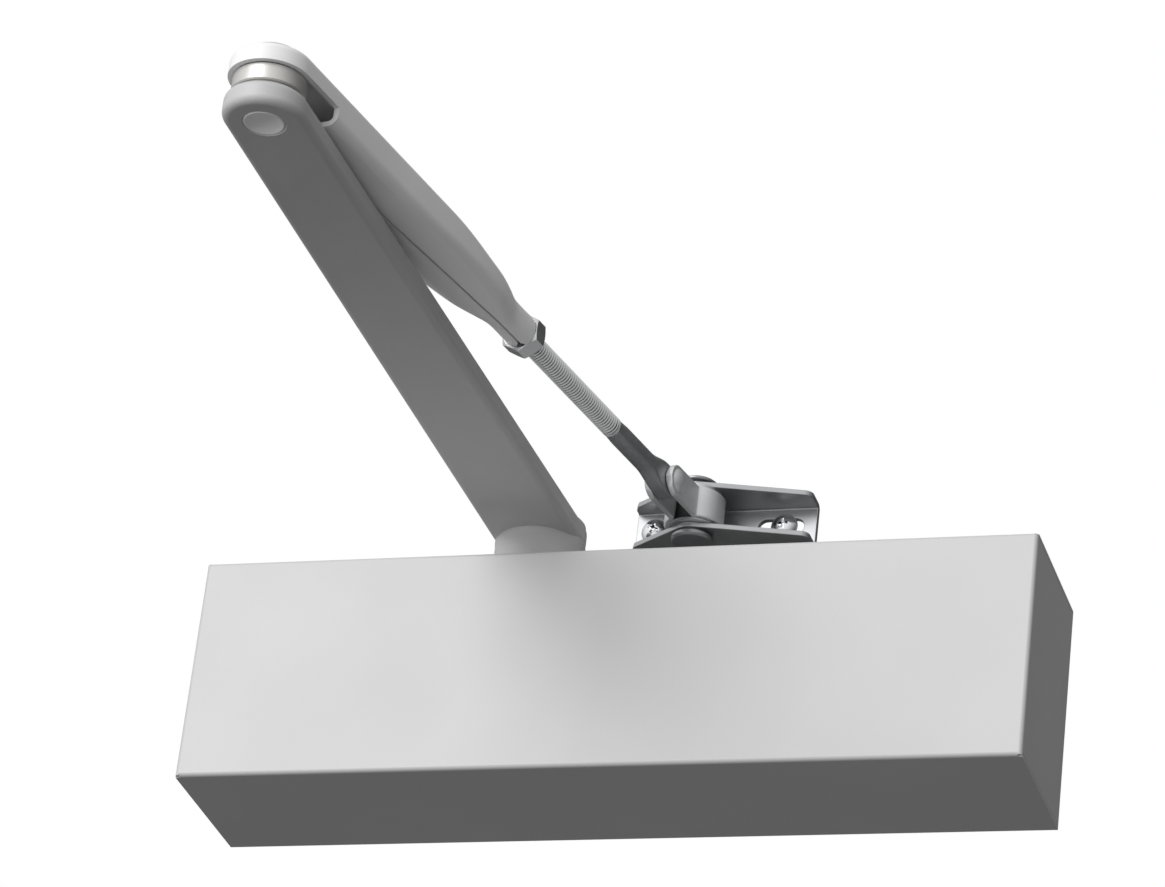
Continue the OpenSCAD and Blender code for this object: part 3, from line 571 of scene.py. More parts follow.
def through(points, s):
    """A smooth curve through (station, value) points, level beyond both ends."""
    if s <= points[0][0]:
        return points[0][1]
    for k in range(len(points) - 1):
        (s0, v0), (s1, v1) = points[k], points[k + 1]
        if s <= s1:
            before, after = points[max(0, k - 1)], points[min(len(points) - 1, k + 2)]
            m0 = (v1 - before[1]) / (s1 - before[0]) * (s1 - s0) if k else 0.0
            m1 = (after[1] - v0) / (after[0] - s0) * (s1 - s0) if k + 2 < len(points) else 0.0
            t = (s - s0) / (s1 - s0)
            return ((2 * t ** 3 - 3 * t ** 2 + 1) * v0 + (t ** 3 - 2 * t ** 2 + t) * m0
                    + (3 * t ** 2 - 2 * t ** 3) * v1 + (t ** 3 - t ** 2) * m1)
    return points[-1][1]


# half width of the waist: slow at first, then quick, with a crease where the neck starts
waist = [(96, 13.5), (107, 13.25), (122, 12.3), (136, 10.7), (145, 8.6), (151, 6.9), (155, 6.25), (167, 6.2)]


def channel_section(s, inset):
    """The closed section at a station: points from the seam round by the left, the top and the right side."""
    half = through(waist, s) - inset
    top = 3.9 + (neck_radius - 3.9) * ease(s, 118, 160) - inset
    belly = -9.2 + max(0.0, s - 70) * math.tan(math.radians(1.85))
    bottom = belly + (-neck_radius - belly) * ease(s, 135, 160) + inset
    corner_top = 2.6 + (neck_radius - 2.6) * ease(s, 95, 158) - inset
    corner_low = 3.4 + (neck_radius - 3.4) * ease(s, 85, 158) - inset
    # half the seam's width, which opens in a round mouth over the last 3 mm
    mouth = min(1.0, max(0.0, (s - neck_end + 3) / 3))
    gap = 0.45 + 1.6 * (1 - math.sqrt(1 - mouth ** 2))
    corner_top, corner_low = max(0.4, corner_top), max(0.4, corner_low)
    # on the round neck the seam's edge already lies on the curve
    past = max(0.0, gap - (half - corner_low))
    begin = math.degrees(math.asin(min(0.9, past / corner_low))) - 90
    low = arc_points((half - corner_low, bottom + corner_low), corner_low, begin, 0, 10)
    points = [(gap, low[0][1])] + low
    points += arc_points((half - corner_top, top - corner_top), corner_top, 0, 90, 10)
    points += [(-x, z) for x, z in points[::-1]]
    # the seam drifts to the right on its way to the neck
    drift = seam_drift * ease(s, 50, 150)
    middle = (top + bottom) / 2
    return [(x - drift * max(0.0, (middle - z) / (middle - bottom)) ** 2, z) for x, z in points]


def sheet_body(rows_out, rows_in):
    """Closes the space between an outer and an inner skin, each given as rows of points."""
    shape = bmesh.new()
    outer = [[shape.verts.new(p) for p in row] for row in rows_out]
    inner = [[shape.verts.new(p) for p in row] for row in rows_in]
    for skin, flip in ((outer, False), (inner, True)):
        for a, b in zip(skin, skin[1:]):
            for i in range(len(a) - 1):
                face = (a[i], a[i + 1], b[i + 1], b[i])
                shape.faces.new(face[::-1] if flip else face)
    for side in (0, -1):
        for k in range(len(outer) - 1):
            shape.faces.new((outer[k][side], outer[k + 1][side], inner[k + 1][side], inner[k][side]))
    for row in (0, -1):
        for i in range(len(outer[0]) - 1):
            shape.faces.new((outer[row][i], outer[row][i + 1], inner[row][i + 1], inner[row][i]))
    return outward(shape)


def together(*shapes):
    """Puts closed shapes that only touch into one."""
    whole = bmesh.new()
    for shape in shapes:
        mesh = bpy.data.meshes.new("together")
        shape.to_mesh(mesh)
        shape.free()
        whole.from_mesh(mesh)
    return whole


def forearm_channel():
    """The channel along +X from the elbow, its rod's axis on z = 0."""
    stations = [deep_start + 2 * k for k in range(38)] + [96 + 1.5 * k for k in range(47)] + [neck_end]
    bore = 3.85
    outer = [[(s, y, z) for y, z in channel_section(s, 0)] for s in stations]
    inner = []
    for s in stations:
        row = [(s, y, z) for y, z in channel_section(s, strip_thickness)]
        squeezed = ease(s, 140, 160)
        ring = [(s, bore * y / math.hypot(y, z), bore * z / math.hypot(y, z)) for _, y, z in row]
        inner.append([tuple(a + (b - a) * squeezed for a, b in zip(p, q)) for p, q in zip(row, ring)])
    tube = sheet_body(outer, inner)
    # the round pan over the elbow, open below, running into the deep part
    pan_top, pan_rim, corner = 3.9, -3.1, 2.6
    pan_end = deep_start + 0.03
    plan = arc_points((0, 0), 1.0, 90, 270, 36)

    def pan_rows(inset):
        rows = []
        section = [(half_width - inset, pan_rim)] + [
            (half_width - corner + (corner - inset) * math.cos(math.radians(a)),
             pan_top - corner + (corner - inset) * math.sin(math.radians(a))) for a in range(0, 91, 10)] + [
            (6.0, pan_top - inset)]
        for distance, height in section:
            row = [(pan_end, distance, height)]
            row += [(distance * x, distance * y, height) for x, y in plan]
            row += [(pan_end, -distance, height)]
            rows.append(row)
        return rows

    pan = sheet_body(pan_rows(0), pan_rows(strip_thickness))
    lid = prism([(pan_end, -6.1)] + arc_points((0, 0), 6.1, 270, 90, 24) + [(pan_end, 6.1)],
                pan_top - strip_thickness, pan_top)
    hole = lathe([(0, -20), (rivet_bore, -20), (rivet_bore, 20), (0, 20)], 48)
    lid = joined(lid, hole, "DIFFERENCE")
    return moved(together(tube, pan, lid), along_forearm)


fit_piece("pressed_forearm", forearm_channel(), painted_light_coat, "forearm", ["forearm_channel"],
          sharp=40)


# ---- Rod and lock nut ----------------------------------------------------------------------
# A zinc-plated steel rod with a rolled thread screws into the neck and is locked by a hexagon
# nut. Its far end is forged flat into an eye. The shank is left dark from the forging.

def thread_tree():
    """A rolled thread along +X: rows that follow the helix, drawn together at both ends."""
    tree = bpy.data.node_groups.new("Rolled thread", "GeometryNodeTree")
    face = tree.interface
    for name, value in (("Radius", 3.8), ("Depth", 0.85), ("Pitch", 1.41), ("Start", 0.0), ("End", 60.0)):
        face.new_socket(name, in_out="INPUT", socket_type="NodeSocketFloat").default_value = value
    face.new_socket("Metal", in_out="INPUT", socket_type="NodeSocketMaterial")
    face.new_socket("Geometry", in_out="OUTPUT", socket_type="NodeSocketGeometry")
    given = add_node(tree, "NodeGroupInput").outputs

    sides, rows_per_turn = 32, 6
    made = {socket.name: socket for socket in given}
    made["Index"] = add_node(tree, "GeometryNodeInputIndex").outputs[0]
    for name, operation, *values in (
            # the grid that is wound round the rod
            ("Length", "SUBTRACT", "End", "Start"), ("Pitches", "DIVIDE", "Length", "Pitch"),
            ("More", "ADD", "Pitches", 1.0), ("Turns", "CEIL", "More"),
            ("Steps", "MULTIPLY", "Turns", rows_per_turn), ("Rows", "ADD", "Steps", 1.0),
            # each point's row and its place in the row
            ("Middle", "ADD", "Index", 0.5), ("Counted", "DIVIDE", "Middle", sides + 1.0),
            ("Row", "FLOOR", "Counted"), ("Before", "MULTIPLY", "Row", sides + 1.0),
            ("Column", "SUBTRACT", "Index", "Before"), ("Around", "DIVIDE", "Column", float(sides)),
            ("Angle", "MULTIPLY", "Around", 2 * math.pi),
            # its station on the helix, and whether that is on the rod
            ("Turn", "DIVIDE", "Row", float(rows_per_turn)), ("Behind", "SUBTRACT", "Around", 1.0),
            ("Wound", "ADD", "Turn", "Behind"), ("Along", "MULTIPLY", "Wound", "Pitch"),
            ("Begun", "GREATER_THAN", "Along", 0.001), ("Not Past", "LESS_THAN", "Along", "Length"),
            ("Inside", "MULTIPLY", "Begun", "Not Past"),
            # crest, flank, root, flank over the rows of one pitch
            ("Offset", "ADD", "Row", 0.25), ("Phases", "DIVIDE", "Offset", float(rows_per_turn)),
            ("Phase", "FRACT", "Phases"), ("Doubled", "MULTIPLY", "Phase", 2.0),
            ("Centred", "SUBTRACT", "Doubled", 1.0), ("Slope", "ABSOLUTE", "Centred"),
            ("Raised", "SUBTRACT", "Slope", 0.15), ("Steep", "DIVIDE", "Raised", 0.7),
            ("Floored", "MAXIMUM", "Steep", 0.0), ("Height", "MINIMUM", "Floored", 1.0),
            # the thread runs out over the last pitch and a half
            ("Left", "SUBTRACT", "Length", "Along"), ("Fade", "MULTIPLY", "Pitch", 1.5),
            ("Share", "DIVIDE", "Left", "Fade"), ("Kept", "MAXIMUM", "Share", 0.0),
            ("Runout", "MINIMUM", "Kept", 1.0), ("Low", "SUBTRACT", 1.0, "Height"),
            ("Root", "MULTIPLY", "Low", "Runout"), ("Cut", "MULTIPLY", "Root", "Depth"),
            # and the point itself
            ("Cut Radius", "SUBTRACT", "Radius", "Cut"), ("Spoke", "MULTIPLY", "Cut Radius", "Inside"),
            ("Started", "MAXIMUM", "Along", 0.0), ("Station", "MINIMUM", "Started", "Length"),
            ("Cosine", "COSINE", "Angle"), ("Sine", "SINE", "Angle"), ("X", "ADD", "Station", "Start"),
            ("Y", "MULTIPLY", "Spoke", "Cosine"), ("Z", "MULTIPLY", "Spoke", "Sine")):
        made[name] = add_node(tree, "ShaderNodeMath", {
            i: made.get(value, value) for i, value in enumerate(values)}, operation=operation).outputs[0]
    grid = add_node(tree, "GeometryNodeMeshGrid", {
        "Size X": 1.0, "Size Y": 1.0, "Vertices X": made["Rows"], "Vertices Y": sides + 1})
    spot = add_node(tree, "ShaderNodeCombineXYZ", {axis: made[axis] for axis in "XYZ"})
    shaped = add_node(tree, "GeometryNodeSetPosition", {
        "Geometry": grid.outputs["Mesh"], "Position": spot.outputs["Vector"]})
    # how deep each point lies in the thread, for the painted shade in its roots
    marked = add_node(tree, "GeometryNodeStoreNamedAttribute", {
        "Geometry": shaped.outputs["Geometry"], "Name": "painted_root_shade", "Value": made["Root"]},
        data_type="FLOAT", domain="POINT")
    welded = add_node(tree, "GeometryNodeMergeByDistance", {
        "Geometry": marked.outputs["Geometry"], "Distance": 1e-4})
    real = add_node(tree, "GeometryNodeRealizeInstances", {"Geometry": welded.outputs["Geometry"]})
    coated = add_node(tree, "GeometryNodeSetMaterial", {
        "Geometry": real.outputs["Geometry"], "Material": given["Metal"]})
    add_node(tree, "NodeGroupOutput", {"Geometry": coated.outputs["Geometry"]})
    return tree


def loft(rows):
    """A closed body through rows of points, capped at both ends."""
    shape = bmesh.new()
    made = [[shape.verts.new(p) for p in row] for row in rows]
    count = len(rows[0])
    for a, b in zip(made, made[1:]):
        for i in range(count):
            j = (i + 1) % count
            shape.faces.new((a[i], a[j], b[j], b[i]))
    shape.faces.new(made[0])
    shape.faces.new(made[-1])
    return outward(shape)


def rounded_section(s, half_y, half_z, corner):
    """A rounded rectangle across the rod at a station; a circle when its corners are as large as it is."""
    points = []
    for start, sy, sz in ((0, 1, 1), (90, -1, 1), (180, -1, -1), (270, 1, -1)):
        points += arc_points((sy * (half_y - corner), sz * (half_z - corner)), corner, start, start + 90, 7)
    return [(s, y, z) for y, z in points]


thread_start, thread_end = 122.0, 236.0
knuckle_at = reach.length - 23.5
shank_radius, eye_half, eye_height = 3.5, 2.8, 5.5


def rod_shank():
    """The plain shank and its flattened eye."""
    rows = []
    stations = [thread_end - 2.5] + [thread_end + 3 * k for k in range(6)] + [254 + k for k in range(24)]
    for s in stations:
        flat = ease(s, 261, 274)
        # forging presses the round bar square before it spreads it
        square = ease(s, thread_end, thread_end + 6)
        half_y = shank_radius + (eye_half - shank_radius) * flat
        half_z = shank_radius + (eye_height - shank_radius) * flat
        corner = shank_radius - 0.9 * square * (1 - flat) - (shank_radius - 0.9) * flat
        rows.append(rounded_section(s, half_y, half_z, min(corner, half_y, half_z) - 0.001))
    for a in range(5, 90, 10):
        half_z = eye_height * math.cos(math.radians(a))
        s = knuckle_at + eye_height * math.sin(math.radians(a))
        rows.append(rounded_section(s, eye_half, max(0.5, half_z), min(0.9, max(0.45, half_z - 0.05))))
    return loft(rows)


# bright zinc on rolled threads: light, sparkling crests
thread_zinc = finish_of("Rolled steel thread, zinc plated", "EFF0F0", "DCDDDE", 0.6, 0.34, 4, 0.4, 0.05)
# painted shade: the roots between the crests are darkened
root_shade_tree = thread_zinc.node_tree
painted_root_shade = add_node(root_shade_tree, "ShaderNodeAttribute", attribute_name="painted_root_shade")
skin = root_shade_tree.nodes["Principled BSDF"].inputs["Base Color"]
darkened = add_node(root_shade_tree, "ShaderNodeMix", {
    "Factor": painted_root_shade.outputs["Fac"], 6: skin.links[0].from_socket, 7: linear("2E2F30")}, data_type="RGBA")
root_shade_tree.links.new(darkened.outputs[2], skin)
# the shank keeps its forging scale under a thin grey coat
scaled_steel = finish_of("Forged steel shank, dull", "ABACAF", "929395", 0.7, 0.44, 7, 0.4, 0.35)
fit_piece("rod_thread", grown(thread_tree(), "rod_thread", {
    "Radius": 3.8, "Depth": 0.85, "Pitch": 1.41, "Start": thread_start, "End": thread_end,
    "Metal": thread_zinc}, along_forearm), thread_zinc, "rod", ["threaded_rod"], sharp=70)
fit_piece("rod_shank", moved(rod_shank(), along_forearm), scaled_steel, "rod", [], sharp=50)


def hexagon_nut(across, length, bore):
    """A nut along +Z with both its faces turned to a chamfer."""
    corner = across / 2 / math.cos(math.radians(30))
    hexagon = prism(arc_points((0, 0), corner, 0, 300, 5), 0, length)
    slope = math.tan(math.radians(30))
    flat = across / 2 - 0.2
    rim = corner + 0.5
    envelope = lathe([(0, 0), (flat, 0), (rim, (rim - flat) * slope), (rim, length - (rim - flat) * slope),
                      (flat, length), (0, length)])
    nut = joined(hexagon, envelope, "INTERSECT")
    hole = lathe([(0, -1), (bore + 1.5, -1), (bore, 0.5), (bore, length - 0.5), (bore + 1.5, length + 1),
                  (0, length + 1)], 48)
    return joined(nut, hole, "DIFFERENCE")


nut_start, nut_length = neck_end + 0.3, 6.2
# local +Z of the nut turns onto the rod, a corner up
onto_rod = along_forearm @ Matrix.Translation((nut_start, 0, 0)) @ Matrix.Rotation(math.radians(90), 4, "Y")
fit_piece("lock_nut_hexagon", moved(hexagon_nut(13.0, nut_length, 3.85), onto_rod), zinc_plate,
          "lock_nut", ["lock_nut"], sharp=12)


# ---- Knuckle -------------------------------------------------------------------------------
# One strip of steel bent in a loop round the shoe's pin, its two legs riveted to the rod's eye.
# The rivet's heads are domed. A nylon bush lines the loop.

strap_thickness, strap_half_height = 2.4, 5.9
loop_middle, leg_middle = 9.4, 4.3


def strap_path():
    """Plan of the strip's middle line, with its half height at each point: leg, crease, loop, crease, leg."""
    crease = math.degrees(math.asin(leg_middle / loop_middle))
    leg_end = reach.length - loop_middle * math.cos(math.radians(crease))
    half = []
    for a in range(90, 0, -10):
        half.append((knuckle_at - strap_half_height * math.sin(math.radians(a)), leg_middle,
                     max(0.6, strap_half_height * math.cos(math.radians(a)))))
    half += [(s, leg_middle, strap_half_height)
             for s in (knuckle_at, knuckle_at + 5, leg_end - 1.4, leg_end - 0.5)]
    for a in range(int(crease) + 5, 180, 6):
        angle = math.radians(180 - a)
        half.append((reach.length + loop_middle * math.cos(angle), loop_middle * math.sin(angle),
                     strap_half_height))
    far = (reach.length + loop_middle, 0.0, strap_half_height)
    return half + [far] + [(s, -y, height) for s, y, height in half[::-1]]


def knuckle_strap():
    """The strip swept along its path."""
    path = strap_path()
    rows = []
    for i, (s, y, height) in enumerate(path):
        before, after = path[max(0, i - 1)], path[min(len(path) - 1, i + 1)]
        tangent = Vector((after[0] - before[0], after[1] - before[1])).normalized()
        side = Vector((-tangent.y, tangent.x)) * strap_thickness / 2
        soft = min(0.55, height * 0.6)
        turn = (side.normalized() * (strap_thickness / 2 - soft * 0.8))
        rows.append([
            (s + side.x, y + side.y, height - soft), (s + turn.x, y + turn.y, height),
            (s - turn.x, y - turn.y, height), (s - side.x, y - side.y, height - soft),
            (s - side.x, y - side.y, soft - height), (s - turn.x, y - turn.y, -height),
            (s + turn.x, y + turn.y, -height), (s + side.x, y + side.y, soft - height)])
    return loft(rows)


def knuckle_rivet():
    """The rivet along +Z with a domed head at each end."""
    foot, rise, out = 4.5, 1.75, 5.52
    ball = (foot ** 2 + rise ** 2) / (2 * rise)
    edge = math.asin(foot / ball)
    dome = [(foot, out)] + [(ball * math.sin(edge * k / 8), out + rise - ball + ball * math.cos(edge * k / 8))
                            for k in range(7, 0, -1)] + [(0, out + rise)]
    half = [(3.0, out)] + dome
    return lathe([(r, -z) for r, z in half[::-1]] + half)


# plated strip, bright on its edges
strap_steel = finish_of("Bent steel strip, plated", "DCDDDE", "CDCED0", 0.5, 0.34, 9, 0.35, 0.22)
fit_piece("knuckle_loop", moved(knuckle_strap(), along_forearm), strap_steel, "knuckle",
          ["knuckle_strap"], sharp=50)
fit_piece("knuckle_rivet_domed",
          moved(knuckle_rivet(), along_forearm @ Matrix.Translation((knuckle_at, 0, 0))
                @ Matrix.Rotation(math.radians(90), 4, "X")),
          strap_steel, "knuckle", ["knuckle_rivet"])
# acetal: matt, slightly waxy, made near black as painted shade for the shadowed inside of the loop
painted_shade_bush = finish_of("Acetal bush, dark as painted shade", "2A2A2B", "202021", 0.0, 0.4, 8, 0.3, 0.2, ior=1.48)
dress("pin_bush", painted_shade_bush)


# ---- Shoe ----------------------------------------------------------------------------------
# A bracket bent from steel plate, plated, with two ears that carry the pin between them. The
# pin has a flat head below and above. Two chromed round-head screws hold it to the frame.

shoe_low, shoe_high = [c * 1000 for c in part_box("shoe_bracket")]
ear, plate, bend = 2.0, 2.5, 2.6
first_screw = 6.7


def shoe_plan():
    """Outline of the ears seen from above: slanting left edge, round tip over the pin, long right edge."""
    tip, left_slope, right_slope, corner = 6.9, 33, 15, 3.5
    pin = (shoe_pin.x, shoe_pin.y)
    right_x = shoe_high.x - corner
    tip_x = pin[0] + tip * math.sin(math.radians(right_slope))
    tip_y = pin[1] - tip * math.cos(math.radians(right_slope))
    right_y = tip_y + (right_x - tip_x) * math.tan(math.radians(right_slope)) + corner
    return ([(shoe_low.x, 1.0), (shoe_low.x, -5.0), (shoe_low.x + 1.4, -8.1)]
            + arc_points(pin, tip, 270 - left_slope, 270 + right_slope, 20)
            + arc_points((right_x, right_y), corner, 270 + right_slope, 360, 10)
            + [(shoe_high.x, 1.0)])


def bent_bracket():
    """The channel section cut to the ears' outline, with its screw hole and slot."""
    y_front = shoe_low.y - 3
    low, high = shoe_low.z, shoe_high.z
    inner = max(0.3, bend - ear)
    section = ([(y_front, low)] + arc_points((-bend, low + bend), bend, 270, 360, 8)
               + arc_points((-bend, high - bend), bend, 0, 90, 8) + [(y_front, high), (y_front, high - ear)]
               + arc_points((-plate - inner, high - ear - inner), inner, 90, 0, 4)
               + arc_points((-plate - inner, low + ear + inner), inner, 0, -90, 4) + [(y_front, low + ear)])
    rows = [[(x, y, z) for y, z in section] for x in (shoe_low.x - 1, shoe_high.x + 1)]
    bracket = joined(loft(rows), prism(shoe_plan(), low - 1, high + 1), "INTERSECT")
    bore = lathe([(0, low - 1), (5.05, low - 1), (5.05, high + 1), (0, high + 1)], 64)
    bracket = joined(bracket, moved(bore, Matrix.Translation((shoe_pin.x, shoe_pin.y, 0))), "DIFFERENCE")
    middle = (low + high) / 2
    into_plate = Matrix.Rotation(math.radians(90), 4, "X")
    hole = moved(lathe([(0, -1), (2.75, -1), (2.75, 5), (0, 5)], 32),
                 Matrix.Translation((shoe_low.x + first_screw, 0.0, middle)) @ into_plate)
    bracket = joined(bracket, hole, "DIFFERENCE")
    slot_x, slot_half, slot_r = shoe_low.x + 53.5, 5.35, 3.15
    slot = prism(arc_points((slot_half, 0), slot_r, -90, 90, 16)
                 + arc_points((-slot_half, 0), slot_r, 90, 270, 16), -1, 5)
    return joined(bracket, moved(slot, Matrix.Translation((slot_x, 0.0, middle)) @ into_plate), "DIFFERENCE")


# plated bracket: bright edges, even satin faces
bracket_steel = finish_of("Bent steel plate, zinc plated", "B4B5B7", "A2A3A5", 0.85, 0.40, 8, 0.35, 0.2)
fit_piece("bent_bracket", bent_bracket(), bracket_steel, "shoe", ["shoe_bracket"],
          round_mm=0.3, sharp=30)


def headed_pin():
    """The shoe's pin on its axis, with both heads."""
    low, high = [c.z * 1000 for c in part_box("shoe_pin")]
    head, body, neck = 7.5, 4.95, 5.6
    return lathe([
        (0, low + 0.02), (head - 1.2, low), (head - 0.5, low + 0.25), (head, low + 0.9), (head, low + 1.9),
        (head - 0.45, low + 2.4), (neck, low + 2.4), (neck, shoe_low.z), (body, shoe_low.z + 0.02),
        (body, shoe_high.z - 0.02), (neck, shoe_high.z), (neck, high - 1.4), (head - 0.3, high - 1.4),
        (head, high - 1.1), (head, high - 0.5), (head - 0.6, high), (0, high)])


pin_steel = finish_of("Steel pin, plated", "9C9D9F", "8A8B8E", 0.8, 0.34, 7, 0.3, 0.2)
fit_piece("headed_pin", moved(headed_pin(), Matrix.Translation((shoe_pin.x, shoe_pin.y, 0))), pin_steel,
          "shoe", ["shoe_pin"], sharp=30)
dress("shoe_washers", zinc_plate)


def screw_tree():
    """A row of round-head screws with cross recesses and wood threads, as instances of one screw along -Y."""
    tree = bpy.data.node_groups.new("Round-head screws", "GeometryNodeTree")
    face = tree.interface
    for name, value in (("Head Radius", 4.95), ("Head Height", 3.2), ("Shank Radius", 2.1),
                        ("Thread Radius", 2.4), ("Reach", 22.0), ("Spacing", 48.0)):
        face.new_socket(name, in_out="INPUT", socket_type="NodeSocketFloat").default_value = value
    face.new_socket("Metal", in_out="INPUT", socket_type="NodeSocketMaterial")
    face.new_socket("Geometry", in_out="OUTPUT", socket_type="NodeSocketGeometry")
    given = add_node(tree, "NodeGroupInput").outputs

    made = {socket.name: socket for socket in given}
    made["Index"] = add_node(tree, "GeometryNodeInputIndex").outputs[0]
    for name, operation, *values in (
            # the ball that the head is a cap of
            ("Radius Squared", "MULTIPLY", "Head Radius", "Head Radius"),
            ("Height Squared", "MULTIPLY", "Head Height", "Head Height"),
            ("Squares", "ADD", "Radius Squared", "Height Squared"), ("Twice", "MULTIPLY", "Head Height", 2.0),
            ("Ball", "DIVIDE", "Squares", "Twice"), ("Ball Middle", "SUBTRACT", "Head Height", "Ball"),
            # stations on the screw's axis
            ("Recess", "SUBTRACT", "Head Height", 2.2), ("Shank Middle", "MULTIPLY", "Reach", -0.5),
            ("Shank End", "MULTIPLY", "Reach", -1.0), ("Tip", "SUBTRACT", "Shank End", 3.98),
            ("Thread Path", "SUBTRACT", "Thread Radius", 0.15), ("Thread Length", "SUBTRACT", "Reach", 5.0),
            # each screw stopped at another turn of its recess
            ("Stopped", "MULTIPLY_ADD", "Index", math.radians(-25), math.radians(20))):
        made[name] = add_node(tree, "ShaderNodeMath", {
            i: made.get(value, value) for i, value in enumerate(values)}, operation=operation).outputs[0]
    slanted = (0.0, 0.0, math.radians(45))
    shapes = {}
    for part, kind, sizes, station, turn, scale in (
            ("ball", "GeometryNodeMeshUVSphere", {"Segments": 64, "Rings": 48, "Radius": made["Ball"]},
             "Ball Middle", None, None),
            ("drum", "GeometryNodeMeshCylinder", {"Vertices": 64, "Radius": 8.0, "Depth": 10.0}, -5.0, None, None),
            ("blade", "GeometryNodeMeshCone",
             {"Vertices": 4, "Radius Top": 3.5, "Radius Bottom": 1.2, "Depth": 2.8},
             "Recess", slanted, (1.0, 0.26, 1.0)),
            ("cross blade", "GeometryNodeMeshCone",
             {"Vertices": 4, "Radius Top": 3.5, "Radius Bottom": 1.2, "Depth": 2.8},
             "Recess", slanted, (0.26, 1.0, 1.0)),
            ("shank", "GeometryNodeMeshCylinder",
             {"Vertices": 32, "Radius": given["Shank Radius"], "Depth": given["Reach"]},
             "Shank Middle", None, None),
            ("tip", "GeometryNodeMeshCone",
             {"Vertices": 32, "Radius Top": given["Shank Radius"], "Radius Bottom": 0.2, "Depth": 4.0},
             "Tip", None, None)):
        shape = add_node(tree, kind, sizes).outputs["Mesh"]
        if turn:
            shape = add_node(tree, "GeometryNodeTransform", {
                "Geometry": shape, "Rotation": turn}).outputs["Geometry"]
        spot = add_node(tree, "ShaderNodeCombineXYZ", {"Z": made.get(station, station)})
        shapes[part] = add_node(tree, "GeometryNodeTransform", {
            "Geometry": shape, "Translation": spot.outputs["Vector"],
            "Scale": scale or (1.0, 1.0, 1.0)}).outputs["Geometry"]
    # the head: the ball's cap above z = 0, then the cross cut into it, blade by blade
    head = shapes["ball"]
    for cutter in ("drum", "blade", "cross blade"):
        head = add_node(tree, "GeometryNodeMeshBoolean", {"Mesh 1": head, "Mesh 2": shapes[cutter]},
                        operation="DIFFERENCE", solver="EXACT").outputs["Mesh"]
    # the thread wound on the shank
    helix = add_node(tree, "GeometryNodeCurveSpiral", {
        "Resolution": 20, "Rotations": 9.0, "Start Radius": made["Thread Path"],
        "End Radius": made["Thread Path"], "Height": made["Thread Length"]}).outputs["Curve"]
    ridge = add_node(tree, "GeometryNodeCurvePrimitiveCircle", {"Resolution": 4, "Radius": 0.32}).outputs["Curve"]
    winding = add_node(tree, "GeometryNodeCurveToMesh", {
        "Curve": helix, "Profile Curve": ridge, "Fill Caps": True}).outputs["Mesh"]
    thread_foot = add_node(tree, "ShaderNodeCombineXYZ", {"Z": made["Shank End"]}).outputs["Vector"]
    thread = add_node(tree, "GeometryNodeTransform", {
        "Geometry": winding, "Translation": thread_foot}).outputs["Geometry"]
    screw = add_node(tree, "GeometryNodeJoinGeometry")
    for part in (head, shapes["shank"], shapes["tip"], thread):
        tree.links.new(part, screw.inputs["Geometry"])
    # one screw at each end of the row, turned to face the person who drives it
    step = add_node(tree, "ShaderNodeCombineXYZ", {"X": given["Spacing"]}).outputs["Vector"]
    row = add_node(tree, "GeometryNodeMeshLine", {
        "Count": 2, "Start Location": (0.0, 0.0, 0.0), "Offset": step}, mode="OFFSET")
    spin = add_node(tree, "ShaderNodeCombineXYZ", {"X": math.radians(90), "Y": made["Stopped"]})
    copies = add_node(tree, "GeometryNodeInstanceOnPoints", {
        "Points": row.outputs["Mesh"], "Instance": screw.outputs["Geometry"],
        "Rotation": spin.outputs["Vector"]})
    real = add_node(tree, "GeometryNodeRealizeInstances", {"Geometry": copies.outputs["Instances"]})
    coated = add_node(tree, "GeometryNodeSetMaterial", {
        "Geometry": real.outputs["Geometry"], "Material": given["Metal"]})
    add_node(tree, "NodeGroupOutput", {"Geometry": coated.outputs["Geometry"]})
    return tree


# bright chrome: sharp reflections, faint waviness
chrome = finish_of("Steel screws, bright chrome plated", "EDEDEF", "DCDDE0", 1.0, 0.12, 3, 0.8, 0.06)
fit_piece("shoe_screw_pair", grown(screw_tree(), "shoe_screw_pair", {"Metal": chrome},
          Matrix.Translation((shoe_low.x + first_screw, -plate, (shoe_low.z + shoe_high.z) / 2))),
          chrome, "shoe", ["shoe_screws"], sharp=35)


# ---- Room ----------------------------------------------------------------------------------
# A pale floor well below the closer, a large soft light high on the left and in front, and a
# white surround. The camera looks up at the closer from its right.

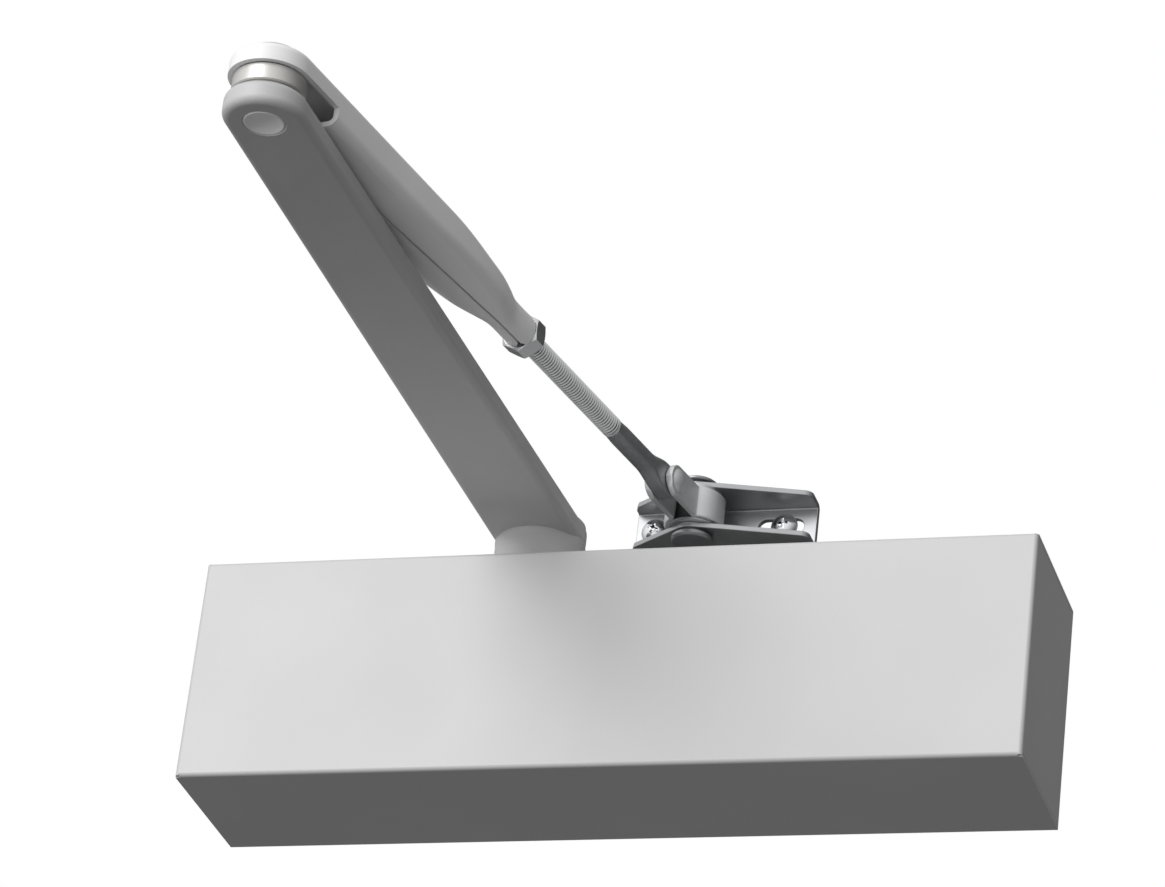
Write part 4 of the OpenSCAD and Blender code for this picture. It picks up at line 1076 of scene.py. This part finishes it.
def white_surround():
    """White to look at. As a light it is bright in front and above, and dim below and on the right."""
    world = bpy.data.worlds.new("White surround")
    world.use_nodes = True
    tree = world.node_tree
    seen = tree.nodes["Background"]
    seen.inputs["Color"].default_value = linear("FFFFFF")
    seen.inputs["Strength"].default_value = 1.0
    place = add_node(tree, "ShaderNodeTexCoord").outputs["Generated"]
    facing = add_node(tree, "ShaderNodeVectorMath", {0: place, 1: bright_side}, operation="DOT_PRODUCT")
    level = add_node(tree, "ShaderNodeMapRange", {
        "Value": facing.outputs["Value"], "From Min": -0.6, "From Max": 0.95, "To Min": 0.08, "To Max": 1.1},
        interpolation_type="SMOOTHSTEP")
    lit = add_node(tree, "ShaderNodeBackground", {
        "Color": linear("F8F8F8"), "Strength": level.outputs["Result"]})
    ray = add_node(tree, "ShaderNodeLightPath").outputs["Is Camera Ray"]
    both = add_node(tree, "ShaderNodeMixShader", {
        0: ray, 1: lit.outputs["Background"], 2: seen.outputs["Background"]})
    tree.links.new(both.outputs["Shader"], tree.nodes["World Output"].inputs["Surface"])
    return world


def soft_light(name, spot, target, size, watts):
    """A square soft box aimed at a point."""
    light = bpy.data.lights.new(name, "AREA")
    light.shape = "SQUARE"
    light.size = size
    light.energy = watts
    lamp = bpy.data.objects.new(name, light)
    bpy.context.scene.collection.objects.link(lamp)
    lamp.location = spot
    lamp.rotation_euler = (Vector(target) - Vector(spot)).to_track_quat("-Z", "Y").to_euler()
    return lamp


bright_side = Vector((-0.40, -0.82, 0.40))
bpy.context.scene.world = white_surround()
soft_light("Key", (-0.9, -2.5, 1.25), (0.0, -0.1, 0.0), 1.5, 24)

floor_half, floor_height = 14.0, -3.2
floor_shape = bmesh.new()
bmesh.ops.create_grid(floor_shape, x_segments=1, y_segments=1, size=floor_half)
floor_mesh = bpy.data.meshes.new("floor")
floor_shape.to_mesh(floor_mesh)
floor_shape.free()
floor_mesh.transform(Matrix.Translation((0, 0, floor_height)))
floor_mesh.materials.append(finish_of("Studio floor, pale matt", "F0F0EE", "ECECEA", 0.0, 0.8, 900, 6, 0.1))
floor = bpy.data.objects.new("floor", floor_mesh)
bpy.context.scene.collection.objects.link(floor)
# the floor takes shadows but throws no light back up
floor.visible_diffuse = False
floor.visible_glossy = False

camera_data = bpy.data.cameras.new("Camera")
camera_data.lens = 163.8
camera_data.sensor_width = 36.0
camera = bpy.data.objects.new("Camera", camera_data)
bpy.context.scene.collection.objects.link(camera)
# it stands to the right, well below, and is rolled a little
camera_spot = Vector((0.5680, -1.6028, -0.7915))
forward = Vector((-0.29430503, 0.83140953, 0.47132021)).normalized()
level = forward.cross(Vector((0, 0, 1))).normalized()
upright = level.cross(forward)
tilt = math.radians(-6.954)
up = upright * math.cos(tilt) + level * math.sin(tilt)
right = forward.cross(up)
camera.matrix_world = Matrix.Translation(camera_spot) @ Matrix((right, up, -forward)).transposed().to_4x4()
bpy.context.scene.camera = camera
bpy.context.scene.view_settings.view_transform = "Standard"
